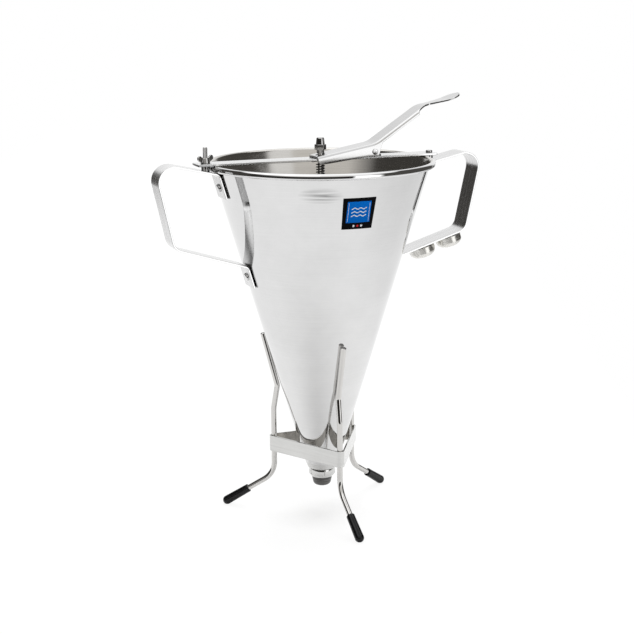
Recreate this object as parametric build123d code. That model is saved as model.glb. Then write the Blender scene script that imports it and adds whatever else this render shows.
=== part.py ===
from build123d import *
import math
import os

# Hand-held sauce funnel with a lever valve, standing in a three-legged wire stand.
# Millimetres, +Z up. The origin is on the table, on the funnel's axis.
# +X runs along the crossbar to the thumb end of the lever. The label faces -Y.

# Funnel body: one cone of sheet whose rim is rolled outwards
sheet = 1.0
rim_height = 314.3
rim_radius = 96.7
curl_radius = 2.7
curl_turn = 270.0
cone_foot_height = 46.0
cone_foot_radius = 14.9

# Outlet socket, welded under the cone, with the valve seat in it
socket_height = 5.4
socket_foot_radius = 12.8
spigot_radius = 9.2
spigot_length = 4.6
bore_radius = 5.0
seat_depth = 7.5

# Screw-on nozzles: one in use and two spares
nozzle_gap = 0.8
nozzle_ring_radius = 11.8
nozzle_ring_height = 5.6
nozzle_ring_chamfer = 1.3
nozzle_edge_chamfer = 0.5
nozzle_neck_height = 2.2
nozzle_neck_inset = 0.5
nozzle_tip_radius = 7.9
nozzle_lip_radius = 9.2
nozzle_lip_rounding = 2.4
nozzle_shoulder_gap = 0.4
throat_radius = 5.6
fitted_mouth_radius = 4.0
fitted_tip_length = 9.6
spare_mouth_radii = (3.0, 5.0)
spare_side_height = 6.4
spare_height = 9.6
spare_foot_radius = 8.8
spare_rounding = 1.4

# Strap handles
strap_width = 23.0
strap = 1.5
strap_seat_gap = 0.05
tab_top_drop = 25.3
tab_low_length = 18.6
top_run_rise = 12.6
curl_to_strap = 0.4
grip_overhang = 44.5
grip_drop = 34.3
grip_lean = 12.5
low_run_drop = 84.7
low_run_rise = 17.2
tab_bend_radius = 4.5
top_corner_radius = 13.2
low_corner_radius = 10.5

# Rivets that hold the straps to the cone
rivet_from_tab_end = 9.0
rivet_radius = 2.0
rivet_head_radius = 3.6
rivet_head_height = 1.6
rivet_tail_radius = 3.2
rivet_tail_height = 0.8
rivet_seat_gap = 0.12

# Bosses under the right handle on which the spare nozzles are kept
spare_end_gap = 1.7
spare_gap = 3.6

# Crossbar over the rim, with a clamp stud at one end and a hook stud at the other
bar_width = 18.0
bar = 2.0
bar_seat_gap = 0.05
bar_clamp_overhang = 8.9
bar_hook_overhang = 4.2
bar_corner_radius = 1.0
stud_rim_gap = 0.2
stud_radius = 2.1
stud_collar_radius = 3.5
clamp_stud_height = 13.4
stud_chamfer = 0.6
hook_head_radius = 3.0
hook_head_height = 1.8
hook_head_rounding = 0.9

# Wing nut on the clamp stud
wing_hub_radius = 4.2
wing_hub_top_radius = 3.3
wing_hub_height = 4.8
wing_sheet = 1.8
wing_root_radius = 2.0
wing_root_height = 2.6
wing_tip_radius = 2.3
wing_tip_reach = 7.0
wing_tip_height = 4.2
wing_turn = 31.0

# Lever: an inverted channel that ends in a flat thumb pad
lever_sheet = 1.5
lever_fold_radius = 2.5
lever_nose = 6.4
nose_to_bend = 53.7
channel_rise = 10.1
bend_to_neck = 46.7
arm_rise = 33.1
neck_to_pad = 24.0
neck_rise = 11.1
pad_run = 13.4
pad_rise = 19.5
bend_radius = 20.0
neck_radius = 15.0
pad_bend_radius = 25.0
nose_flange = 7.0
nose_corner_radius = 3.0
lip_depth = 3.6
taper_lead = 8.0
neck_half_width = 4.5
neck_trail = 6.6
pad_half_width = 9.4

# Lever pivot: a bracket on the crossbar and a riveted pin
pivot_to_bend = 0.8
bracket_sheet = 1.5
bracket_inset = 0.2
bracket_length = 13.0
ear_radius = 3.7
pin_radius = 2.0
pin_floor_gap = 0.45
pin_head_radius = 2.6
pin_head_height = 0.8

# Piston: rod, valve plug, spring collar and cap nut
rod_radius = 2.5
plug_radius = 8.0
plug_rim = 1.5
plug_shoulder = 6.0
plug_neck_radius = 4.0
plug_tip_gap = 0.8
plug_tip_length = 2.4
plug_floor = 3.0
nut_collar_radius = 3.4
nut_collar_height = 3.0
nut_turn = -21.0
nut_across_flats = 9.0
nut_height = 4.6
nut_crown_radius = 3.95
nut_crown_top_radius = 3.3
nut_crown_height = 5.9
nut_crown_rounding = 1.0
nut_thread_depth = 7.5
collar_margin = 1.05
collar_height = 5.0
collar_pin_radius = 1.0

# Return spring under the crossbar, pushing the collar down
spring_wire = 1.1
spring_rod_gap = 0.35
spring_turns = 13
spring_length = 34.0
spring_end_bend = 1.6
arcs_per_turn = 4

# Maker's plate, a thin square on the front of the cone
label_size = 27.6
label_drop = 31.7
label_sheet = 0.3
label_gap = 0.05

# Stand: three bent rods inside a triangular band, with rubber feet
leg_radius = 2.5
arm_top = 162.4
arm_foot = 114.5
arm_stand_off = 1.8
leg_straight_top = 93.0
knee_height = 31.5
foot_splay = 44.4
arm_bend_radius = 8.0
shoulder_bend_radius = 16.0
knee_bend_radius = 20.0
band = 1.5
band_foot = 53.5
band_height = 14.5
band_cone_gap = 2.86
cap_radius = 3.7
cap_length = 22.0
cap_flat = 0.25
cap_mouth_rounding = 0.6
leg_end_chamfer = 0.5
front_leg_angle = -90.0
leg_angle_step = 120.0

# Clearances
weld_gap = 0.02
pin_fit = 0.05
thread_fit = 0.1
rod_fit = 0.3
seat_gap = 0.3
lever_rest_gap = 0.3
lift_gap = 0.3
lever_side_gap = 0.2
lever_bar_gap = 0.5
slot_play = 1.6
cone_rest_gap = 0.3
turning_gap = 0.1


def rz(radius, height):
    """A point of a turned profile, in the XZ plane."""
    return (radius, 0, height)


def turned(points, rounding=0.0, rounded=()):
    """Solid of revolution about Z, with chosen corners of its profile rounded."""
    face = make_face(Polyline(*[rz(*p) for p in points], close=True))
    for corner in rounded:
        near = face.vertices().sort_by_distance(rz(*corner))[0]
        face = fillet(near, rounding)
    return revolve(face, Axis.Z)


def rod(radius, length):
    """Upright cylinder that starts at the origin."""
    return Cylinder(radius, length, align=(Align.CENTER, Align.CENTER, Align.MIN))


def swept_strap(path, width, thickness):
    """Flat strip that keeps its width along Y while it follows a path in the XZ plane."""
    start = Plane(origin=path @ 0, x_dir=(0, 1, 0), z_dir=path % 0)
    return sweep(start * Rectangle(width, thickness), path=path)


def side_face(points):
    """Face in the XZ plane from (x, z) points."""
    return make_face(Polyline(*[rz(*p) for p in points], close=True))


def meet(point_a, angle_a, point_b, angle_b):
    """Where two lines cross in the XZ plane, each given by a point and its rise in degrees."""
    ax, az = math.cos(math.radians(angle_a)), math.sin(math.radians(angle_a))
    bx, bz = math.cos(math.radians(angle_b)), math.sin(math.radians(angle_b))
    across = ax * bz - az * bx
    t = ((point_b[0] - point_a[0]) * bz - (point_b[1] - point_a[1]) * bx) / across
    return (point_a[0] + t * ax, point_a[1] + t * az)


def along(point, angle, distance):
    """A point reached from another at a given rise in the XZ plane."""
    turn = math.radians(angle)
    return (point[0] + distance * math.cos(turn), point[1] + distance * math.sin(turn))


def upright(point, normal):
    """Plane at an (x, z) point whose Z is an (x, z) direction and whose Y is the part's Y."""
    return Plane(origin=rz(*point), x_dir=(normal[1], 0, -normal[0]), z_dir=rz(*normal))


# Sizes that follow from others
stud_reach = rim_radius + curl_radius + stud_rim_gap + stud_collar_radius
lever_width = bar_width + 2 * (lever_bar_gap + lever_sheet)
bracket_width = bar_width - 2 * bracket_inset
pivot_reach = nose_to_bend - lever_nose - pivot_to_bend
plug_tip_radius = bore_radius - plug_tip_gap
spring_coil_radius = rod_radius + spring_rod_gap + spring_wire / 2
collar_radius = spring_coil_radius + spring_wire / 2 + collar_margin
spare_pitch = 2 * nozzle_ring_radius + spare_gap
spare_inset = nozzle_ring_radius + spare_end_gap
grip_reach = rim_radius + grip_overhang
grip_height = rim_height - grip_drop
low_run_height = rim_height - low_run_drop
tab_top_end = rim_height - tab_top_drop
tab_low_end = low_run_height - tab_low_length
rivet_heights = (tab_top_end + rivet_from_tab_end, tab_low_end + rivet_from_tab_end)
label_height = rim_height - label_drop

# The cone's slope follows from its foot and from the curl that its sheet runs into
foot_to_curl = math.hypot(rim_radius - cone_foot_radius, rim_height - cone_foot_height)
cone_tilt = math.atan2(rim_radius - cone_foot_radius, rim_height - cone_foot_height)
cone_tilt -= math.asin((curl_radius - sheet) / foot_to_curl)
cone_out = (math.cos(cone_tilt), -math.sin(cone_tilt))
cone_up = math.degrees(math.pi / 2 - cone_tilt)


def cone_outer(height):
    """Outside radius of the cone at a height."""
    return cone_foot_radius + (height - cone_foot_height) * math.tan(cone_tilt)


def cone_inner(height):
    """Inside radius of the cone at a height."""
    return cone_outer(height) - sheet / math.cos(cone_tilt)


def on_curl(radius, degrees):
    """A point on a circle about the centre of the rim's curl."""
    turn = math.radians(degrees)
    return rz(rim_radius + radius * math.cos(turn), rim_height + radius * math.sin(turn))


def make_cone():
    """Cone of sheet with its rim rolled outwards and downwards."""
    start = 180.0 - math.degrees(cone_tilt)
    end = start - curl_turn
    middle = (start + end) / 2
    hollow = curl_radius - sheet
    foot_out = rz(cone_foot_radius, cone_foot_height)
    foot_in = rz(cone_inner(cone_foot_height), cone_foot_height)
    profile = [
        Line(foot_out, on_curl(hollow, start)),
        ThreePointArc(on_curl(hollow, start), on_curl(hollow, middle), on_curl(hollow, end)),
        Line(on_curl(hollow, end), on_curl(curl_radius, end)),
        ThreePointArc(on_curl(curl_radius, end), on_curl(curl_radius, middle), on_curl(curl_radius, start)),
        Line(on_curl(curl_radius, start), foot_in),
        Line(foot_in, foot_out),
    ]
    return revolve(make_face(profile), Axis.Z)


# Heights of the outlet
socket_foot = cone_foot_height - socket_height
spigot_foot = socket_foot - spigot_length
seat_foot = cone_foot_height - seat_depth
seat_slope = (cone_inner(cone_foot_height) - bore_radius) / seat_depth


def make_socket():
    """Turned ring under the cone: outside flange, threaded spigot, conical valve seat and bore."""
    return turned([
        (cone_inner(cone_foot_height), cone_foot_height),
        (cone_foot_radius, cone_foot_height),
        (socket_foot_radius, socket_foot),
        (spigot_radius, socket_foot),
        (spigot_radius, spigot_foot),
        (bore_radius, spigot_foot),
        (bore_radius, seat_foot),
    ])


def make_nozzle(mouth_radius, tip_length):
    """Nozzle hanging down from the middle of its top face at the origin."""
    thread = spigot_radius + thread_fit
    shoulder = -(spigot_length - nozzle_gap + nozzle_shoulder_gap)
    ring_foot = -nozzle_ring_height
    mouth = ring_foot - tip_length
    return turned([
        (thread, 0),
        (nozzle_ring_radius - nozzle_neck_inset, 0),
        (nozzle_ring_radius, -nozzle_neck_height),
        (nozzle_ring_radius, ring_foot + nozzle_ring_chamfer),
        (nozzle_ring_radius - nozzle_ring_chamfer, ring_foot),
        (nozzle_tip_radius, ring_foot),
        (nozzle_lip_radius, mouth),
        (mouth_radius, mouth),
        (throat_radius, shoulder),
        (thread, shoulder),
    ], nozzle_lip_rounding, [(nozzle_lip_radius, mouth)])


def make_spare_nozzle(mouth_radius):
    """Short spare nozzle with a rounded underside, hanging down from its top face at the origin."""
    thread = spigot_radius + thread_fit
    shoulder = -(spigot_length - nozzle_gap + nozzle_shoulder_gap)
    return turned([
        (thread, 0),
        (nozzle_ring_radius - nozzle_edge_chamfer, 0),
        (nozzle_ring_radius, -nozzle_edge_chamfer),
        (nozzle_ring_radius, -spare_side_height),
        (spare_foot_radius, -spare_height),
        (mouth_radius, -spare_height),
        (mouth_radius, shoulder),
        (thread, shoulder),
    ], spare_rounding, [(nozzle_ring_radius, -spare_side_height), (spare_foot_radius, -spare_height)])


# Handle line, in the middle of the strap's thickness
tab_offset = (strap_seat_gap + strap / 2) / math.cos(cone_tilt)
run_offset = (curl_radius + curl_to_strap + strap / 2) / math.cos(math.radians(top_run_rise))
run_point = (rim_radius, rim_height - run_offset)
low_point = (cone_outer(low_run_height) + tab_offset, low_run_height)
tab_point = (cone_outer(tab_top_end) + tab_offset, tab_top_end)
tab_end = (cone_outer(tab_low_end) + tab_offset, tab_low_end)
grip_point = (grip_reach, grip_height)
grip_rise = math.degrees(math.pi / 2) - grip_lean
top_inner_corner = meet(tab_point, cone_up, run_point, top_run_rise)
top_outer_corner = meet(run_point, top_run_rise, grip_point, grip_rise)
low_outer_corner = meet(grip_point, grip_rise, low_point, low_run_rise)


def rivet_plane(height):
    """Plane on the outside of the strap's tab, facing away from the cone."""
    out = strap_seat_gap + strap
    point = (cone_outer(height) + out * cone_out[0], height + out * cone_out[1])
    return upright(point, cone_out)


def rivet_holes(heights):
    """Drills through the tabs and the cone on the +X side."""
    depth = 4 * (sheet + strap)
    drill = Cylinder(rivet_radius + pin_fit, depth)
    return [rivet_plane(height) * drill for height in heights]


def make_handle():
    """Strap handle on the +X side, with a tab at each end against the cone."""
    path = Plane.XZ * FilletPolyline(
        tab_point, top_inner_corner, top_outer_corner, low_outer_corner, low_point, tab_end,
        radius=[tab_bend_radius, top_corner_radius, low_corner_radius, tab_bend_radius],
    )
    strip = swept_strap(path, strap_width, strap)
    for hole in rivet_holes(rivet_heights):
        strip -= hole
    return strip


def make_rivet():
    """Domed rivet whose head sits on the plane z = 0, with its tail inside the funnel."""
    dome = (rivet_head_radius ** 2 + rivet_head_height ** 2) / (2 * rivet_head_height)
    head = Pos(0, 0, rivet_head_height - dome) * Sphere(dome)
    head &= rod(rivet_head_radius, rivet_head_height)
    grip = strap + strap_seat_gap + sheet + rivet_seat_gap
    shank = Pos(0, 0, -grip) * rod(rivet_radius, grip)
    tail = Pos(0, 0, -grip - rivet_tail_height) * rod(rivet_tail_radius, rivet_tail_height)
    return head + shank + tail


def mirrored_x(shape):
    """The same piece on the -X side."""
    return mirror(shape, about=Plane.YZ)


# Storage bosses for the spare nozzles, under the right handle's lower run
low_run_down = (math.sin(math.radians(low_run_rise)), -math.cos(math.radians(low_run_rise)))


def spare_plane(place):
    """Plane under the lower run, facing up into it: place 0 is the inner boss, 1 the outer."""
    inward = spare_inset + (1 - place) * spare_pitch
    middle = along(low_outer_corner, low_run_rise, -inward)
    under = (middle[0] + low_run_down[0] * strap / 2, middle[1] + low_run_down[1] * strap / 2)
    return upright(under, (-low_run_down[0], -low_run_down[1]))


def make_boss(place):
    """Threaded boss for one spare nozzle."""
    return spare_plane(place) * Pos(0, 0, -spigot_length) * rod(spigot_radius, spigot_length)


def make_spare(place):
    """Spare nozzle screwed up under the handle."""
    hang = Pos(0, 0, -nozzle_gap)
    return spare_plane(place) * hang * make_spare_nozzle(spare_mouth_radii[place])


# Crossbar heights and the studs' seats on the straps
bar_foot = rim_height + curl_radius + bar_seat_gap
bar_top = bar_foot + bar
strap_face = (rim_radius, rim_height - (curl_radius + curl_to_strap) / math.cos(math.radians(top_run_rise)))


def above_strap(shape):
    """Cut a piece on the +X side off at the upper face of the handle's top run."""
    reach = 2 * rim_radius
    face = upright(strap_face, (-math.sin(math.radians(top_run_rise)), math.cos(math.radians(top_run_rise))))
    below = face * Box(reach, reach, reach, align=(Align.CENTER, Align.CENTER, Align.MAX))
    return shape - below


def make_crossbar():
    """Flat bar over the rim: a hole for the clamp stud, an open slot for the hook stud, a rod hole."""
    left = -stud_reach - bar_clamp_overhang
    right = stud_reach + bar_hook_overhang
    blank = Pos((left + right) / 2, 0) * RectangleRounded(right - left, bar_width, bar_corner_radius)
    blank -= Pos(-stud_reach, 0) * Circle(stud_radius + pin_fit)
    blank -= Pos(stud_reach, 0) * Circle(stud_radius + pin_fit)
    slot = Rectangle(bar_hook_overhang, 2 * (stud_radius + pin_fit), align=(Align.MIN, Align.CENTER))
    blank -= Pos(stud_reach, 0) * slot
    blank -= Circle(rod_radius + rod_fit)
    return Pos(0, 0, bar_foot) * extrude(blank, bar)


def make_clamp_stud():
    """Threaded stud that stands on the left handle and passes up through the crossbar."""
    top = bar_top + clamp_stud_height
    stud = Pos(0, 0, bar_foot - strap_width) * rod(stud_radius, top - bar_foot + strap_width)
    stud = chamfer(stud.faces().sort_by(Axis.Z)[-1].edges(), stud_chamfer)
    return mirrored_x(above_strap(Pos(stud_reach, 0, 0) * stud))


def make_clamp_collar():
    """Spacer round the clamp stud, between the strap and the crossbar."""
    depth = strap_width
    ring = rod(stud_collar_radius, depth) - rod(stud_radius + weld_gap, depth)
    return mirrored_x(above_strap(Pos(stud_reach, 0, bar_foot - depth) * ring))


def make_hook_stud():
    """Headed stud on the right handle that the slotted end of the crossbar slides under."""
    depth = strap_width
    stud = Pos(0, 0, -depth) * rod(stud_collar_radius, depth)
    head_foot = bar + turning_gap
    stud += rod(stud_radius, head_foot)
    head = Pos(0, 0, head_foot) * rod(hook_head_radius, hook_head_height)
    stud += fillet(head.faces().sort_by(Axis.Z)[-1].edges(), hook_head_rounding)
    return above_strap(Pos(stud_reach, 0, bar_foot) * stud)


def make_wing_nut():
    """Wing nut on the clamp stud, resting on the crossbar."""
    hub = turned([
        (stud_radius + thread_fit, 0),
        (wing_hub_radius, 0),
        (wing_hub_top_radius, wing_hub_height),
        (stud_radius + thread_fit, wing_hub_height),
    ])
    root = Pos(wing_hub_top_radius, wing_root_height) * Circle(wing_root_radius)
    tip = Pos(wing_tip_reach, wing_tip_height) * Circle(wing_tip_radius)
    plate = Plane.XZ * make_hull(root.edges() + tip.edges())
    wing = extrude(plate, wing_sheet / 2, both=True)
    wing -= rod(stud_radius + thread_fit, wing_tip_height + wing_tip_radius)
    nut = hub + wing + mirrored_x(wing)
    return Pos(-stud_reach, 0, bar_top + turning_gap) * Rot(0, 0, wing_turn) * nut


# Lever line, in the middle of its web
half_web = lever_sheet / 2
nose_height = bar_top + lever_rest_gap + half_web / math.cos(math.radians(channel_rise))
nose_point = (-lever_nose, nose_height)
bend_point = along(nose_point, channel_rise, nose_to_bend / math.cos(math.radians(channel_rise)))
neck_point = along(bend_point, arm_rise, bend_to_neck / math.cos(math.radians(arm_rise)))
pad_point = along(neck_point, neck_rise, neck_to_pad / math.cos(math.radians(neck_rise)))
pad_end = along(pad_point, pad_rise, pad_run / math.cos(math.radians(pad_rise)))
pivot_height = bar_top + bracket_sheet + pin_floor_gap + pin_radius


def web_top(x):
    """Height of the top of the lever's web over the crossbar."""
    rise = math.radians(channel_rise)
    return nose_height + (x + lever_nose) * math.tan(rise) + half_web / math.cos(rise)


def channel_section(depth):
    """Inverted U across the lever, with the middle of its web at the origin."""
    outer = Pos(0, half_web) * Rectangle(lever_width, depth, align=(Align.CENTER, Align.MAX))
    outer = fillet(outer.vertices().group_by(Axis.Y)[-1], lever_fold_radius)
    inner_width = lever_width - 2 * lever_sheet
    inner = Pos(0, -half_web) * Rectangle(inner_width, depth, align=(Align.CENTER, Align.MAX))
    inner = fillet(inner.vertices().group_by(Axis.Y)[-1], lever_fold_radius - lever_sheet)
    return outer - inner


def lever_plan():
    """Outline of the lever from above: full width, a taper to the neck, and the rounded pad."""
    half = lever_width / 2
    tip = pad_end[0] - pad_half_width
    taper_start = neck_point[0] - taper_lead
    neck_start = neck_point[0] + neck_trail
    body = Polyline(
        (-2 * lever_nose, half), (taper_start, half), (neck_start, neck_half_width),
        (neck_start, -neck_half_width), (taper_start, -half), (-2 * lever_nose, -half), close=True,
    )
    pad = Pos(tip, 0) * Circle(pad_half_width)
    neck = Pos(neck_start, 0) * Circle(neck_half_width)
    return make_face(body) + make_hull(neck.edges() + pad.edges())


def flange_side():
    """What is kept of the channel, from the side: deep at the pivot, a shallow lip along the arm."""
    pivot_foot = pivot_height - ear_radius
    lip = (half_web - lip_depth) / math.cos(math.radians(arm_rise))
    lip_start = along((bend_point[0], bend_point[1] + lip), arm_rise, 2 * ear_radius)
    lip_end = (neck_point[0], neck_point[1] + lip)
    nose_foot = (-2 * lever_nose, web_top(-2 * lever_nose) - nose_flange)
    high = neck_point[1] + lever_width
    return side_face([
        nose_foot, (pivot_reach - ear_radius, pivot_foot), (pivot_reach + ear_radius, pivot_foot),
        lip_start, lip_end, (neck_point[0], high), (nose_foot[0], high),
    ])


def make_lever():
    """Folded lever with its rod slot and pivot holes."""
    depth = web_top(pivot_reach) - pivot_height + 3 * ear_radius
    arm_end = along(neck_point, arm_rise, -neck_radius * math.tan(math.radians(arm_rise - neck_rise) / 2))
    line = Plane.XZ * FilletPolyline(nose_point, bend_point, arm_end, radius=bend_radius)
    start = Plane(origin=line @ 0, x_dir=(0, 1, 0), z_dir=line % 0)
    section = start * channel_section(depth)
    channel = sweep(section, path=line)
    channel &= extrude(flange_side(), lever_width, both=True)
    pad_start = along(arm_end, arm_rise, -lever_width)
    pad_line = Plane.XZ * FilletPolyline(
        pad_start, neck_point, pad_point, pad_end, radius=[neck_radius, pad_bend_radius],
    )
    flat_width = lever_width - 2 * lever_fold_radius
    pad = swept_strap(pad_line, 2 * max(pad_half_width, flat_width / 2), lever_sheet)
    before = Pos(arm_end[0], 0, 0) * Box(
        lever_width, lever_width, 4 * rim_height, align=(Align.MAX, Align.CENTER, Align.CENTER),
    )
    pad -= before
    plan = extrude(lever_plan(), 2 * rim_height)
    lever = (channel & plan) + (pad & plan)
    slot_length = 2 * (rod_radius + rod_fit + slot_play)
    slot = Pos(0, 0, bar_top) * extrude(SlotOverall(slot_length, 2 * (rod_radius + rod_fit)), lever_width)
    lever -= slot
    pivot = Pos(pivot_reach, 0, pivot_height) * Rot(90, 0, 0)
    lever -= pivot * Cylinder(pin_radius + pin_fit, 2 * lever_width)
    nose_edges = [e for e in lever.edges().filter_by(Axis.Y)
                  if e.center().X < 0 and e.center().Z < web_top(-lever_nose) - lever_fold_radius]
    return fillet(nose_edges, nose_corner_radius)


def make_bracket():
    """Pivot bracket on the crossbar: a floor with two upright ears."""
    floor = Pos(pivot_reach, 0, bar_top) * Box(
        bracket_length, bracket_width, bracket_sheet, align=(Align.CENTER, Align.CENTER, Align.MIN),
    )
    top = Pos(pivot_reach, pivot_height) * Circle(ear_radius)
    foot = Pos(pivot_reach, bar_top + bracket_sheet / 2) * Rectangle(bracket_length, bracket_sheet)
    outline = Plane.XZ * make_hull(top.edges() + foot.edges())
    ear = Pos(0, bracket_width / 2, 0) * extrude(outline, bracket_sheet, dir=(0, -1, 0))
    bracket = floor + ear + mirror(ear, about=Plane.XZ)
    pivot = Pos(pivot_reach, 0, pivot_height) * Rot(90, 0, 0)
    return bracket - pivot * Cylinder(pin_radius + weld_gap, 2 * bracket_width)


def make_pivot_pin():
    """Riveted pin through the bracket's ears and the lever's flanges."""
    reach = lever_width / 2 + lever_side_gap
    pin = Cylinder(pin_radius, 2 * reach)
    head = rod(pin_head_radius, pin_head_height)
    head = fillet(head.faces().sort_by(Axis.Z)[-1].edges(), pin_head_height / 2)
    head = Pos(0, 0, reach) * head
    pin += head + mirror(head, about=Plane.XY)
    return Pos(pivot_reach, 0, pivot_height) * Rot(90, 0, 0) * pin


# Piston heights. The plug hangs clear of its seat by the seat gap.
seat_shift = seat_gap * math.sqrt(1 + seat_slope ** 2)
plug_cone_foot = seat_foot + (plug_tip_radius + seat_shift - bore_radius) / seat_slope
plug_cone_top = seat_foot + (plug_radius + seat_shift - bore_radius) / seat_slope
plug_foot = plug_cone_foot - plug_tip_length
plug_top = plug_cone_top + plug_rim + plug_shoulder
rod_foot = plug_foot + plug_floor
nut_corner = nut_across_flats / math.sqrt(3)
nut_foot = web_top(nut_collar_radius) + lift_gap
rod_top = nut_foot + nut_collar_height + nut_thread_depth
collar_top = bar_foot - spring_length


def make_plug():
    """Conical valve plug on the foot of the rod."""
    plug = turned([
        (0, plug_foot),
        (plug_tip_radius, plug_foot),
        (plug_tip_radius, plug_cone_foot),
        (plug_radius, plug_cone_top),
        (plug_radius, plug_cone_top + plug_rim),
        (plug_neck_radius, plug_top),
        (0, plug_top),
    ])
    return plug - Pos(0, 0, rod_foot) * rod(rod_radius + weld_gap, plug_top - rod_foot)


def collar_pin_hole(fit):
    """Cross drill through the collar and the rod."""
    middle = Pos(0, 0, collar_top - collar_height / 2) * Rot(90, 0, 0)
    return middle * Cylinder(collar_pin_radius + fit, 2 * collar_radius)


def make_rod():
    """Piston rod from the plug to the cap nut."""
    return Pos(0, 0, rod_foot) * rod(rod_radius, rod_top - rod_foot) - collar_pin_hole(weld_gap)


def make_collar():
    """Collar that the return spring pushes on."""
    ring = rod(collar_radius, collar_height) - rod(rod_radius + weld_gap, collar_height)
    return Pos(0, 0, collar_top - collar_height) * ring - collar_pin_hole(weld_gap)


def make_cap_nut():
    """Hexagon nut with a turned collar under it and a closed, slightly tapered crown."""
    hexagon = extrude(RegularPolygon(nut_across_flats / 2, 6, major_radius=False), nut_height)
    bevel = nut_height + nut_corner - nut_across_flats / 2
    hexagon &= turned([
        (0, 0), (nut_across_flats / 2, 0), (nut_corner, nut_corner - nut_across_flats / 2),
        (nut_corner, 2 * nut_height - bevel), (nut_across_flats / 2, nut_height), (0, nut_height),
    ])
    crown_top = nut_height + nut_crown_height
    crown = turned([
        (0, nut_height), (nut_crown_radius, nut_height),
        (nut_crown_top_radius, crown_top), (0, crown_top),
    ], nut_crown_rounding, [(nut_crown_top_radius, crown_top)])
    collar = Pos(0, 0, -nut_collar_height) * rod(nut_collar_radius, nut_collar_height)
    bore = Pos(0, 0, -nut_collar_height) * rod(rod_radius + weld_gap, nut_collar_height + nut_thread_depth)
    nut = hexagon + crown + collar - bore
    return Pos(0, 0, nut_foot + nut_collar_height) * Rot(0, 0, nut_turn) * nut


# Return spring: straight ends square to the collar and the crossbar, then a helix
def spring_helix(turn):
    """Point and direction on the helix after a number of turns."""
    angle = 2 * math.pi * turn
    height = spring_foot + spring_pitch * turn
    place = Vector(spring_coil_radius * math.cos(angle), spring_coil_radius * math.sin(angle), height)
    lead = math.cos(spring_lead)
    heading = Vector(-lead * math.sin(angle), lead * math.cos(angle), math.sin(spring_lead))
    return place, heading


def biarc(start, heading, end, end_heading):
    """Two tangent arcs from one place and heading to another."""
    chord = end - start
    total = heading + end_heading
    spread = 2 * (1 - heading.dot(end_heading))
    reach = (math.sqrt(chord.dot(total) ** 2 + spread * chord.dot(chord)) - chord.dot(total)) / spread
    middle = (start + end + (heading - end_heading) * reach) * 0.5
    across = (end - end_heading * reach) - (start + heading * reach)
    return [TangentArc(start, middle, tangent=heading), TangentArc(middle, end, tangent=across.normalized())]


def make_spring():
    """One unbroken wire along biarcs."""
    up = Vector(0, 0, 1)
    bend_rise = up * (spring_end_bend * math.cos(spring_lead))
    bend_run = spring_end_bend * (1 - math.sin(spring_lead))
    first, first_heading = spring_helix(0)
    last, last_heading = spring_helix(spring_turns)
    level = Vector(first_heading.X, first_heading.Y, 0).normalized()
    low = first - level * bend_run - bend_rise
    high = last + level * bend_run + bend_rise
    runs = [Line(low - up * spring_wire, low), TangentArc(low, first, tangent=up)]
    for step in range(spring_turns * arcs_per_turn):
        start, heading = spring_helix(step / arcs_per_turn)
        end, end_heading = spring_helix((step + 1) / arcs_per_turn)
        runs += biarc(start, heading, end, end_heading)
    runs += [TangentArc(last, high, tangent=last_heading), Line(high, high + up * spring_wire)]
    path = Wire(runs)
    section = Plane(origin=low - up * spring_wire, z_dir=up) * Circle(spring_wire / 2)
    return sweep(section, path=path), path


def least_spring_gap(path):
    """Smallest clear space between stretches of wire that are not neighbours, on points."""
    count = spring_turns * 48
    points = [path @ (i / count) for i in range(count + 1)]
    apart = int(2 * spring_wire * math.pi / (path.length / count))
    gaps = []
    for i in range(0, count + 1 - apart):
        gaps.append(min((points[i] - points[j]).length for j in range(i + apart, count + 1)))
    return min(gaps) - spring_wire


spring_lead = math.radians(6.0)
spring_pitch = 0.0
for settle in range(20):
    straight = 2 * (spring_wire + spring_end_bend * math.cos(spring_lead))
    spring_pitch = (spring_length - straight) / spring_turns
    spring_lead = math.atan2(spring_pitch, 2 * math.pi * spring_coil_radius)
spring_foot = collar_top + straight / 2


def make_label():
    """Thin square plate bent to the front of the cone."""
    half = label_size / 2 * math.cos(cone_tilt)
    low = label_height - half
    high = label_height + half
    lift = label_gap / math.cos(cone_tilt)
    face = lift + label_sheet / math.cos(cone_tilt)
    profile = side_face([
        (cone_outer(low) + lift, low), (cone_outer(low) + face, low),
        (cone_outer(high) + face, high), (cone_outer(high) + lift, high),
    ])
    sweep_angle = math.degrees(label_size / cone_outer(label_height))
    plate = revolve(profile, Axis.Z, revolution_arc=sweep_angle)
    return Rot(0, 0, -90 - sweep_angle / 2) * plate


# Stand. The band clears the cone at its upper edge, and that sets how far out the legs stand.
leg_turns = {
    "front": front_leg_angle,
    "right": front_leg_angle + leg_angle_step,
    "left": front_leg_angle + 2 * leg_angle_step,
}
band_reach = cone_outer(band_foot + band_height) + band_cone_gap
leg_ring = (band_reach - leg_radius - weld_gap) / math.cos(math.radians(leg_angle_step / 2))
foot_reach = leg_ring + foot_splay
foot_height = cap_radius - cap_flat
arm_offset = (leg_radius + cone_rest_gap) / math.cos(cone_tilt)
knee_point = (leg_ring, knee_height)
foot_point = (foot_reach, foot_height)
foot_fall = math.degrees(math.atan2(foot_height - knee_height, foot_reach - leg_ring))


def make_leg():
    """Bent rod in the XZ plane: an arm that leans on the cone, an upright and a splayed foot."""
    path = Plane.XZ * FilletPolyline(
        (cone_outer(arm_top) + arm_offset, arm_top),
        (cone_outer(arm_foot) + arm_offset + arm_stand_off, arm_foot),
        (leg_ring, leg_straight_top),
        knee_point,
        foot_point,
        radius=[arm_bend_radius, shoulder_bend_radius, knee_bend_radius],
    )
    start = Plane(origin=path @ 0, x_dir=(0, 1, 0), z_dir=path % 0)
    leg = sweep(start * Circle(leg_radius), path=path)
    return chamfer(leg.faces().sort_by(Axis.Z)[-1].edges(), leg_end_chamfer)


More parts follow.
